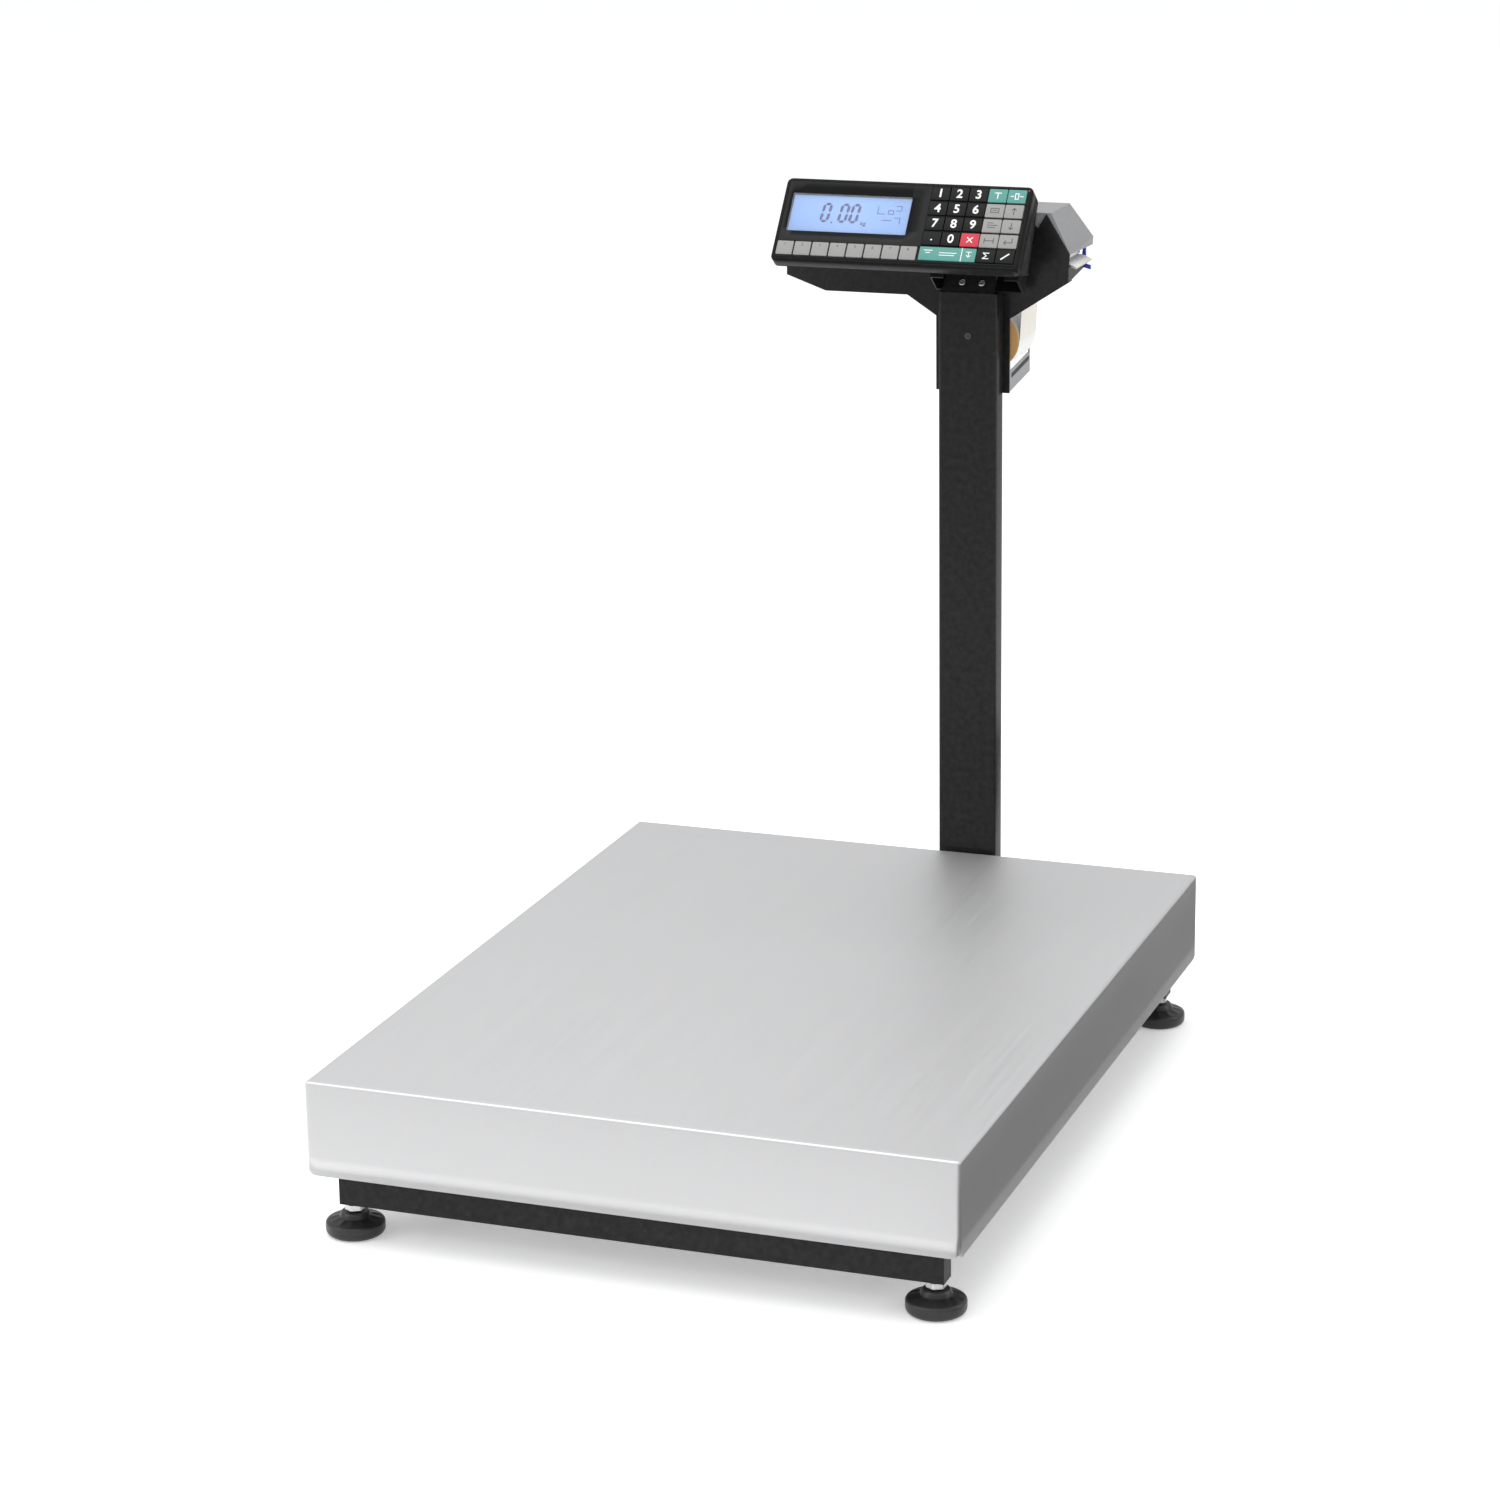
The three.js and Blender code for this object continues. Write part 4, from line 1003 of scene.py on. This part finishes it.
def strokes(name, lines, width, at, level):
    """Straight strokes between points: each is a rectangle as wide as the pen, longer by half its
    width at both ends so that corners close, and 2 microns above the one before."""
    pairs = np.array([pair for line in lines for pair in zip(line[:-1], line[1:])], float)
    start, end = pairs[:, 0], pairs[:, 1]
    ahead = end - start
    ahead /= np.linalg.norm(ahead, axis=1)[:, None]
    side = np.stack([-ahead[:, 1], ahead[:, 0]], 1) * width / 2
    start, end = start - ahead * width / 2, end + ahead * width / 2
    corners = np.stack([start - side, end - side, end + side, start + side], 1) + np.asarray(at)
    return printed(name, [corners], level + np.arange(len(corners))[:, None] * 2e-6)


for digit in range(10):
    u, v, _, _ = keys[f"key_{digit}"]
    mark = flat_text(f"mark_{digit}", str(digit), 0.0128, (u, v), INK_LEVEL, 0.00028)
    keep(mark, f"key_{digit}", ink["white"])
for n in range(8):
    u, v, _, _ = keys[f"key_f{n + 1}"]
    mark = flat_text(f"mark_f{n + 1}", str(n + 1), 0.0042, (u - 0.0005, v + 0.0038), INK_LEVEL)
    keep(mark, f"key_f{n + 1}", ink["dark"])

MM = 0.001
KEY_MARKS = {
    "key_dot": ("white", 1.3, [[(-0.2, -1.5), (0.2, -1.5)]]),
    "key_clear": ("white", 1.0, [[(-2.6, -2.6), (2.6, 2.6)], [(-2.6, 2.6), (2.6, -2.6)]]),
    "key_tare": ("white", 1.0, [[(-3, 3), (3, 3)], [(0, 3), (0, -3.2)]]),
    "key_zero": (
        "white",
        0.9,
        [[(-6, 0), (-3.4, 0)], [(-1.6, 3), (1.6, 3), (1.6, -3), (-1.6, -3), (-1.6, 3)], [(3.4, 0), (6, 0)]],
    ),
    "key_code": ("dark", 0.7, [[(-4, 2.5), (4, 2.5), (4, -2), (-4, -2), (-4, 2.5)], [(-2, 0.4), (2, 0.4)]]),
    "key_up": ("dark", 0.8, [[(0, -3.4), (0, 3.4)], [(-2, 1.4), (0, 3.4), (2, 1.4)]]),
    "key_down": ("dark", 0.8, [[(0, 3.4), (0, -3.4)], [(-2, -1.4), (0, -3.4), (2, -1.4)]]),
    "key_menu": ("dark", 0.7, [[(-4.5, 3), (1, 3)], [(-4.5, 0.6), (5, 0.6)], [(-4.5, -1.8), (3, -1.8)]]),
    "key_mode": (
        "dark",
        0.8,
        [[(-4.6, 0), (4.6, 0)], [(-4.6, 2.4), (-4.6, -2.4)], [(4.6, 2.4), (4.6, -2.4)]],
    ),
    "key_enter": (
        "dark",
        0.8,
        [[(4, 3.2), (4, -1.4), (-4, -1.4)], [(-2.2, 0.6), (-4, -1.4), (-2.2, -3.4)]],
    ),
    "key_total": ("white", 0.9, [[(2.8, 3), (-2.8, 3), (0.6, 0), (-2.8, -3), (2.8, -3)]]),
    "key_label": ("white", 1.4, [[(-3.4, -2.8), (3.4, 2.8)]]),
    "key_print": (
        "white",
        0.8,
        [
            [(-24, 3.4), (-16, 3.4)],
            [(-22, 0.8), (-18, 0.8)],
            [(-8, 1.2), (9, 1.2)],
            [(-8, -1.4), (7, -1.4)],
            [(14.4, 6.9), (14.4, -6.9)],
            [(19, 3.2), (24, 3.2)],
            [(21.5, 3.2), (21.5, -2.4), (19.5, -0.6)],
            [(21.5, -2.4), (23.5, -0.6)],
        ],
    ),
}
for name, (colour, width, lines) in KEY_MARKS.items():
    u, v, _, _ = keys[name]
    lines = [np.array(line) * MM for line in lines]
    mark = strokes("mark_" + name[4:], lines, width * MM, (u, v), INK_LEVEL)
    keep(mark, name, ink[colour])

lamp = lathe(
    "power_lamp",
    [(0.0009, -0.0004), (0.0009, 0.0001), (0.0006, 0.00035), (0.0001, 0.00045)],
    on_face((0.1231, 0.0388, -0.0004)),
    face_w,
    steps=20,
)
lamp_red = coated("lamp_red", (0.55, 0.02, 0.02), 0.25, worn=0.0, dusty=0.0)
lamp_shader = lamp_red.node_tree.nodes["Principled BSDF"]
lamp_shader.inputs["Emission Color"].default_value = (1.0, 0.05, 0.04, 1)
lamp_shader.inputs["Emission Strength"].default_value = 0.6
keep(lamp, "stand", lamp_red)

# ---- display -------------------------------------------------------------------------------------
# Liquid-crystal panel lit from behind, dark blue segments on pale blue, under a clear window.

PANEL_TOP = -0.0028
window_u, window_v, window_a, window_b = WINDOW


def rounded_plate(name, middle, half, radius, low, high, ease=0.0003):
    """A flat plate on the face: a rounded rectangle carried from low to high with eased edges."""
    ring, normal = rounded_ring(*half, radius, 4)
    levels = [(ease, low), (0, low + ease), (0, high - ease)]
    levels += [(ease * 0.3, high - ease * 0.3), (ease, high)]
    rows = outline_rows(ring, normal, levels, middle)
    return outward(surface(name, on_face(rows), wrap=(False, True), close=(0, -1)))


glow_sockets = {"Emission Strength": 0.3, "Roughness": 0.4, "Specular IOR Level": 0.2}
glow, tree, shader = new_material("display_glow", glow_sockets)
where = tree.nodes.new("ShaderNodeTexCoord").outputs["Object"]
spot = node(tree, "ShaderNodeMapping", [("Vector", where)])
spot.inputs["Location"].default_value = (-float(on_face((window_u, window_v, 0))[0]) / 0.08, 0, 0)
spot.inputs["Scale"].default_value = (1 / 0.08, 0, 0)
across_lcd = node(tree, "ShaderNodeTexGradient", [("Vector", spot.outputs[0])], gradient_type="SPHERICAL")
cloud = node(tree, "ShaderNodeTexNoise", [("Vector", where)], Scale=30.0, Detail=2.0)
level = math_node(tree, "MULTIPLY_ADD", cloud.outputs[0], 0.25, across_lcd.outputs["Fac"])
blue = mix_node(tree, level, (0.145, 0.265, 0.54), (0.195, 0.335, 0.62))
tree.links.new(blue, shader.inputs["Base Color"])
tree.links.new(blue, shader.inputs["Emission Color"])
panel = rounded_plate(
    "display_glass",
    (window_u, window_v),
    (window_a - 0.001, window_b - 0.001),
    0.001,
    -0.0098,
    PANEL_TOP,
)
keep(panel, "stand", glow, ["display_panel"])

segment_ink = coated("segment_ink", (0.035, 0.030, 0.16), 0.5, worn=0.0, dusty=0.0, tone=0.05)
faint_ink = coated("faint_segment_ink", (0.05, 0.10, 0.28), 0.5, worn=0.0, dusty=0.0, tone=0.05)
for material, strength in ((segment_ink, 0.03), (faint_ink, 0.1)):
    shader = material.node_tree.nodes["Principled BSDF"]
    source = shader.inputs["Base Color"].links[0].from_socket
    material.node_tree.links.new(source, shader.inputs["Emission Color"])
    shader.inputs["Emission Strength"].default_value = strength
    shader.inputs["Specular IOR Level"].default_value = 0.1
DIGIT_SIZE = (0.0068, 0.0190)
SLANT = 0.10


def segments(size, lit, thick):
    """Seven-segment digit as hexagonal bars: each bar runs between two corners of a figure eight,
    shortened at both ends, and the whole leans to the right by a share of its height."""
    wide, tall = size
    corner = np.array([(0, 1), (1, 1), (0, 0.5), (1, 0.5), (0, 0), (1, 0)]) * size - np.array(size) / 2
    bars = {"a": (0, 1), "b": (1, 3), "c": (3, 5), "d": (4, 5), "e": (2, 4), "f": (0, 2), "g": (2, 3)}
    shapes = []
    for bar in lit:
        start, end = corner[bars[bar][0]], corner[bars[bar][1]]
        ahead = (end - start) / np.linalg.norm(end - start)
        side = np.array([-ahead[1], ahead[0]]) * thick / 2
        start, end = start + ahead * thick * 0.18, end - ahead * thick * 0.18
        tip = ahead * thick / 2
        near, far = start + tip, end - tip
        shapes.append([start, near - side, far - side, end, far + side, near + side])
    shapes = np.array(shapes)
    shapes[..., 0] += SLANT * shapes[..., 1]
    return shapes


DIGIT_V = 0.0070
digit_places = (-0.0802, -0.0617, -0.0503)
reading = [segments(DIGIT_SIZE, "abcdef", 0.0029) + (u, DIGIT_V) for u in digit_places]
keep(printed("display_reading", reading, PANEL_TOP + 0.0002), "stand", segment_ink)
point = strokes("display_point", [[(0, 0), (0.0001, 0)]], 0.0019, (-0.0728, -0.0040), PANEL_TOP + 0.0002)
keep(point, "stand", segment_ink)
unit = flat_text("display_unit", "kg", 0.0062, (-0.0398, -0.0038), PANEL_TOP + 0.0002, 0.0001)
keep(unit, "stand", segment_ink)
icon_lines = [
    [(-0.027, 0.016), (-0.027, 0.008), (-0.020, 0.008)],
    [(-0.016, 0.008), (-0.016, 0.012), (-0.011, 0.012), (-0.011, 0.008), (-0.016, 0.008)],
    [(-0.008, 0.017), (-0.003, 0.017), (-0.003, 0.012), (-0.008, 0.012)],
    [(-0.022, 0.001), (-0.012, 0.001)],
    [(-0.008, 0.004), (-0.003, 0.004), (-0.003, -0.002)],
]
icons = strokes("display_icons", icon_lines, 0.0009, (0, 0), PANEL_TOP + 0.0002)
keep(icons, "stand", faint_ink)

window_clear = coated(
    "clear_window", (0.75, 0.82, 0.95), 0.08, scale=900, bump=0.004, tone=0.02, worn=0.0, dusty=0.02
)
window_clear.node_tree.nodes["Principled BSDF"].inputs["Alpha"].default_value = 0.10
pane = rounded_plate(
    "window_pane", (window_u, window_v), (window_a - 0.0003, window_b - 0.0003), 0.001, -0.0015, -0.0002
)
keep(pane, "stand", window_clear, ["display_window"])

# ---- inside and behind the terminal --------------------------------------------------------------
# Circuit board under the keys, the adapter socket on the back, and the folded saddle that joins the
# case to the column's tab.

solder_mask = coated("solder_mask", (0.012, 0.10, 0.045), 0.35, scale=900, bump=0.05, worn=0.0)
keep(eased("keypad_circuit", "keypad_board", 0.0001), "stand", solder_mask, ["keypad_board"])
keep(eased("adapter_socket", "power_inlet", 0.0004), "stand", foot_plastic, ["power_inlet"])
keep(eased("saddle_sheet", "terminal_saddle", 0.0005), "stand", powder, ["terminal_saddle"])

# ---- printer -------------------------------------------------------------------------------------
# Hinged light-grey cover over a thermal mechanism: steel frame, head, rubber platen, stepping motor
# and blue release lever.  The cover is one moulding with eased edges.

cover_plastic = coated(
    "light_grey_abs",
    (0.235, 0.235, 0.24),
    0.4,
    scale=1800,
    bump=0.08,
    tone=0.04,
    worn=0.2,
    worn_colour=(0.6, 0.6, 0.6),
    dusty=0.05,
    specular=0.4,
)
keep(
    eased("printer_cover_moulding", "printer_cover", 0.0011, 3),
    "cover",
    cover_plastic,
    ["printer_cover"],
)
pin_low, pin_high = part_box("cover_pin")


def axis_middle(low, high):
    """Where the axis of a piece that turns about a front-to-back line stands."""
    return (low.x + high.x) / 2, 0, (low.z + high.z) / 2


def bar_along_y(name, profile, at, **values):
    """A turned piece whose axis runs from front to back: profile heights are Y."""
    return lathe(name, profile, (at[0], 0, at[2]), (0, 1, 0), **values)


pin_at = axis_middle(pin_low, pin_high)
pin_profile = [
    (0.0014, pin_low.y),
    (0.0019, pin_low.y + 0.0005),
    (0.0019, pin_high.y - 0.0005),
    (0.0014, pin_high.y),
]
keep(bar_along_y("hinge_pin", pin_profile, pin_at, steps=24), "stand", zinc, ["cover_pin"])

platen_low, platen_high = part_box("platen_roller")
platen_at = axis_middle(platen_low, platen_high)
p0, p1 = platen_low.y, platen_high.y
platen_profile = [
    (0.0024, p0),
    (0.0029, p0 + 0.0004),
    (0.0029, p0 + 0.0020),
    (0.0066, p0 + 0.0020),
    (0.0070, p0 + 0.0026),
    (0.0070, p1 - 0.0042),
    (0.0066, p1 - 0.0036),
    (0.0029, p1 - 0.0036),
    (0.0029, p1 - 0.0014),
    (0.0056, p1 - 0.0014),
    (0.0056, p1 - 0.0001),
    (0.0024, p1 - 0.0001),
]


def gear_teeth(radius, height, turn):
    """Teeth on the widest points near the far end: the radius falls in a square-sided wave."""
    on_gear = (radius > 0.0050) & (height > p1 - 0.0016)
    wave = np.clip(np.sin(turn * 18) * 2, -1, 1)
    return radius - 0.0004 * on_gear * (1 - wave), height


rubber = coated("platen_rubber", (0.010, 0.010, 0.010), 0.62, scale=1200, bump=0.1, worn=0.1, dusty=0.08)
platen = bar_along_y("platen", platen_profile, platen_at, steps=144, shape=gear_teeth)
keep(platen, "platen", rubber, ["platen_roller"])
keep(eased("thermal_head", "print_head", 0.0005), "stand", machined, ["print_head"])

motor_low, motor_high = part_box("feed_motor")
motor_at = axis_middle(motor_low, motor_high)
m0, m1 = motor_low.y, motor_high.y
motor_profile = [
    (0.0100, m0),
    (0.0114, m0 + 0.0006),
    (0.0118, m0 + 0.0018),
    (0.0118, m0 + 0.0092),
    (0.0114, m0 + 0.0096),
    (0.0118, m0 + 0.0100),
    (0.0118, m1 - 0.0042),
    (0.0112, m1 - 0.0030),
    (0.0030, m1 - 0.0028),
    (0.0018, m1 - 0.0024),
    (0.0018, m1 - 0.0001),
]
motor = bar_along_y("stepping_motor", motor_profile, motor_at, steps=48)
keep(motor, "stand", zinc, ["feed_motor"])

blue_plastic = coated(
    "blue_lever_plastic",
    (0.022, 0.035, 0.42),
    0.32,
    scale=1500,
    bump=0.04,
    tone=0.05,
    worn_colour=(0.1, 0.13, 0.6),
    dusty=0.02,
)
lever = eased("head_release_lever", "release_lever", 0.0006, 3)
keep(lever, "lever", blue_plastic, ["release_lever"])

# Tear bar: a thin stainless strip with fine teeth under the end of the label web.
web_low, web_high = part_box("label_web")
TEAR_TEETH = 84
tear_y = np.linspace(web_low.y + 0.0006, web_high.y - 0.0006, TEAR_TEETH * 2 + 1)
tooth = np.where(np.arange(len(tear_y)) % 2, 0.0009, 0.0)
tear_profile = ((-0.0095, 0.0014), (-0.0015, -0.0022), (-0.0017, -0.0027), (-0.0098, 0.0009))
tear_z = platen_at[2] + 0.004
tear_across = [(web_high.x + x + tooth * (x > -0.005), tear_z + z) for x, z in tear_profile]
tear_rows = [np.column_stack([x, tear_y, np.full(len(tear_y), z)]) for x, z in tear_across]
tear = swept("tear_bar", tear_rows)
keep(tear, "stand", zinc)

# ---- label roll and web --------------------------------------------------------------------------
# Die-cut white labels on a tan liner, wound on a card core that turns on a fixed black spindle with
# a keeper disc; a bent zinc-plated guard stands beside the roll, with a black strip of painted shade for
# its dark slot.

roll_low, roll_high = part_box("label_roll")
roll_at = axis_middle(roll_low, roll_high)
roll_radius = (roll_high.x - roll_low.x) / 2
CORE = 0.0127
y0, y1 = roll_low.y, roll_high.y


def ring_solid(name, profile, at, steps=128, angle=32):
    """A closed section turned about an axis that runs from front to back."""
    profile = np.asarray(profile, float)
    turn = np.linspace(0, 2 * math.pi, steps, endpoint=False)
    x = at[0] + profile[:, :1] * np.cos(turn)
    z = at[2] + profile[:, :1] * np.sin(turn)
    y = np.repeat(profile[:, 1:], steps, 1)
    return outward(surface(name, np.stack([x, y, z], 2), wrap=(True, True), angle=angle))


r = roll_radius
layers = np.linspace(CORE + 0.0019, r - 0.0003, 14)
wave = 0.00012 * np.sin(np.arange(14) * 2.1)
roll_profile = [(CORE, y0 + 0.0004), (CORE + 0.0018, y0 + 0.0004)]
roll_profile += [(a, y0 + 0.0003 + b) for a, b in zip(layers, wave)]
roll_profile += [(r, y0 + 0.0006), (r, y1 - 0.0006)]
roll_profile += [(a, y1 - 0.0003 - b) for a, b in zip(layers[::-1], wave[::-1])]
roll_profile += [(CORE + 0.0018, y1 - 0.0004), (CORE, y1 - 0.0004)]
roll = ring_solid("wound_labels", roll_profile, roll_at)


def paper(name, base, rough=0.7, layered=False, core=None):
    """Paper: fine fibre noise in tone and relief; wound edges add thin rings about the roll's axis,
    and the card core shows browner inside its radius."""
    material, tree, shader = new_material(name, {"Specular IOR Level": 0.25})
    where = tree.nodes.new("ShaderNodeTexCoord").outputs["Object"]
    fibres = node(tree, "ShaderNodeTexNoise", [("Vector", where)], Scale=1100.0, Detail=3.0)
    patches = node(tree, "ShaderNodeTexNoise", [("Vector", where)], Scale=60.0, Detail=2.0)
    fine = math_node(tree, "MULTIPLY", fibres.outputs[0], 0.5)
    tone = math_node(tree, "MULTIPLY_ADD", patches.outputs[0], 0.5, fine)
    height = fibres.outputs[0]
    if layered:
        centred = node(tree, "ShaderNodeMapping", [("Vector", where)], Scale=(1, 0, 1))
        centred.inputs["Location"].default_value = (-roll_at[0], 0, -roll_at[2])
        far = node(tree, "ShaderNodeVectorMath", [(0, centred.outputs[0])], operation="LENGTH")
        distance = [("W", far.outputs["Value"])]
        thin = node(tree, "ShaderNodeTexNoise", distance, noise_dimensions="1D", Scale=5200.0, Detail=2.0)
        faint = math_node(tree, "MULTIPLY", tone, 0.2)
        tone = math_node(tree, "MULTIPLY_ADD", thin.outputs[0], 0.8, faint)
        height = thin.outputs[0]
    dark = tuple(c * 0.84 for c in base)
    colour = mix_node(tree, tone, dark, base)
    if layered:
        inside = math_node(tree, "LESS_THAN", far.outputs["Value"], CORE + 0.0018)
        colour = mix_node(tree, inside, colour, core)
    tree.links.new(colour, shader.inputs["Base Color"])
    tree.links.new(math_node(tree, "MULTIPLY_ADD", tone, 0.1, rough - 0.05), shader.inputs["Roughness"])
    add_relief(tree, shader, height, 0.1)
    return material


label_face = paper("label_face", (0.86, 0.86, 0.85))
wound_edge = paper("wound_liner_edge", (0.62, 0.36, 0.15), layered=True, core=(0.30, 0.17, 0.08))
liner = paper("glassine_liner", (0.84, 0.82, 0.76))
keep(roll, "roll", label_face, ["label_roll"])
roll.data.materials.append(wound_edge)
normals = np.empty(len(roll.data.polygons) * 3)
roll.data.polygons.foreach_get("normal", normals)
middles = np.empty(len(roll.data.polygons) * 3)
roll.data.polygons.foreach_get("center", middles)
on_end = np.abs(middles.reshape(-1, 3)[:, 1] - (y0 + y1) / 2) > (y1 - y0) / 2 - 0.0007
roll.data.polygons.foreach_set("material_index", on_end.astype(np.int32))

spindle_low, spindle_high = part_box("roll_spindle")
s0, s1 = spindle_low.y, spindle_high.y
spindle_profile = [
    (0.0110, s0),
    (0.0157, s0 + 0.0003),
    (0.0159, y0 - 0.0007),
    (0.0155, y0 - 0.0004),
    (0.0118, y0 - 0.0003),
    (0.0118, s1 - 0.0008),
    (0.0112, s1),
    (0.0080, s1),
    (0.0076, s1 - 0.0040),
]
spindle = bar_along_y("spindle", spindle_profile, roll_at, steps=64)
keep(spindle, "stand", foot_plastic, ["roll_spindle"])
keeper_low, keeper_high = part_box("roll_keeper")
k0, k1 = keeper_low.y, keeper_high.y


def keeper_arms(radius, height, turn):
    """Three grip lobes: the rim's radius falls between them."""
    return radius * (1 - 0.14 * (radius > 0.016) * (0.5 - 0.5 * np.cos(turn * 3))), height


keeper_profile = [
    (0.0060, k0),
    (0.0192, k0),
    (0.0199, k0 + 0.0006),
    (0.0199, k1 - 0.0006),
    (0.0190, k1),
    (0.0150, k1),
    (0.0145, k1 - 0.0005),
    (0.0080, k1 - 0.0005),
    (0.0070, k1 - 0.0001),
    (0.0040, k1 - 0.0001),
]
keeper = bar_along_y("keeper_disc", keeper_profile, roll_at, steps=96, shape=keeper_arms)
keep(keeper, "stand", foot_plastic, ["roll_keeper"])
guard = eased("roll_guard_strip", "roll_guard", 0.0003)
guard_zinc = brushed("guard_zinc", (0.40, 0.40, 0.41), 0.5, (1.0, 0.1, 1.0), streak=0.08)
keep(guard, "stand", guard_zinc, ["roll_guard"])
guard_low, guard_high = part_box("roll_guard")
# Painted shade: a thin black strip on the guard's right face, rising 8 mm from front to back, stands for
# the dark slot in the guard where the inside lies in shadow; it borrows the platen's black rubber.
STRIP_RISE = 0.008
strip_y = np.linspace(guard_low.y + 0.006, guard_high.y - 0.005, 24)
climb = guard_low.z + 0.0125 + STRIP_RISE * (strip_y - guard_low.y) / (guard_high.y - guard_low.y)
strip_section = ((-0.0001, 0), (0.0004, 0.0004), (0.0004, 0.0044), (-0.0001, 0.0048))
strip_across = [(guard_high.x + x, climb + z) for x, z in strip_section]
strip_rows = [np.column_stack([np.full(len(strip_y), x), strip_y, z]) for x, z in strip_across]
slot_shade_strip = swept("guard_slot_shade_strip", strip_rows)
keep(slot_shade_strip, "stand", rubber)

# The free web: liner from the roll's right side up to the platen and out, with a label on it.
WEB_POINTS = np.array(
    [
        (roll_at[0] + roll_radius + 0.0007, roll_at[2]),
        (roll_at[0] + roll_radius + 0.0015, roll_at[2] + 0.018),
        (roll_at[0] + roll_radius + 0.0030, roll_at[2] + 0.040),
        (platen_at[0] - 0.0120, platen_at[2] + 0.0013),
        (platen_at[0] - 0.0070, platen_at[2] + 0.0065),
        (platen_at[0] - 0.0030, platen_at[2] + 0.0073),
        (platen_at[0] + 0.0050, platen_at[2] + 0.0073),
        (platen_at[0] + 0.0140, platen_at[2] + 0.0063),
        (platen_at[0] + 0.0229, platen_at[2] + 0.0024),
    ]
)


def smooth_path(points, steps):
    """Points spaced evenly by length along a chain that is rounded by three passes of averaging."""
    length = np.concatenate([[0], np.cumsum(np.linalg.norm(np.diff(points, axis=0), axis=1))])
    even = np.linspace(0, length[-1], steps)
    path = np.stack([np.interp(even, length, points[:, k]) for k in (0, 1)], 1)
    for _ in range(3):
        path[1:-1] = (path[:-2] + 2 * path[1:-1] + path[2:]) / 4
    return path


def web_strip(name, path, low_y, high_y, lift, thick):
    """A strip of paper: the path moved square to itself by lift, and again by its thickness."""
    ahead = directions(path)
    side = np.stack([-ahead[:, 1], ahead[:, 0]], 1)
    lower, upper = path + side * lift, path + side * (lift + thick)
    section = [(lower, low_y), (lower, high_y), (upper, high_y), (upper, low_y)]
    rows = [(line[:, 0], np.full(len(line), y), line[:, 1]) for line, y in section]
    return swept(name, [np.column_stack(row) for row in rows])


web_path = smooth_path(WEB_POINTS, 90)
web = web_strip("liner_web", web_path, web_low.y, web_high.y, 0.0, 0.00018)
keep(web, "stand", liner, ["label_web"])
for n, (start, end) in enumerate(((2, 44), (46, 88))):
    label = web_strip(
        f"web_label_{n + 1}", web_path[start:end], web_low.y + 0.001, web_high.y - 0.001, 0.0002, 0.0001
    )
    keep(label, "stand", label_face)
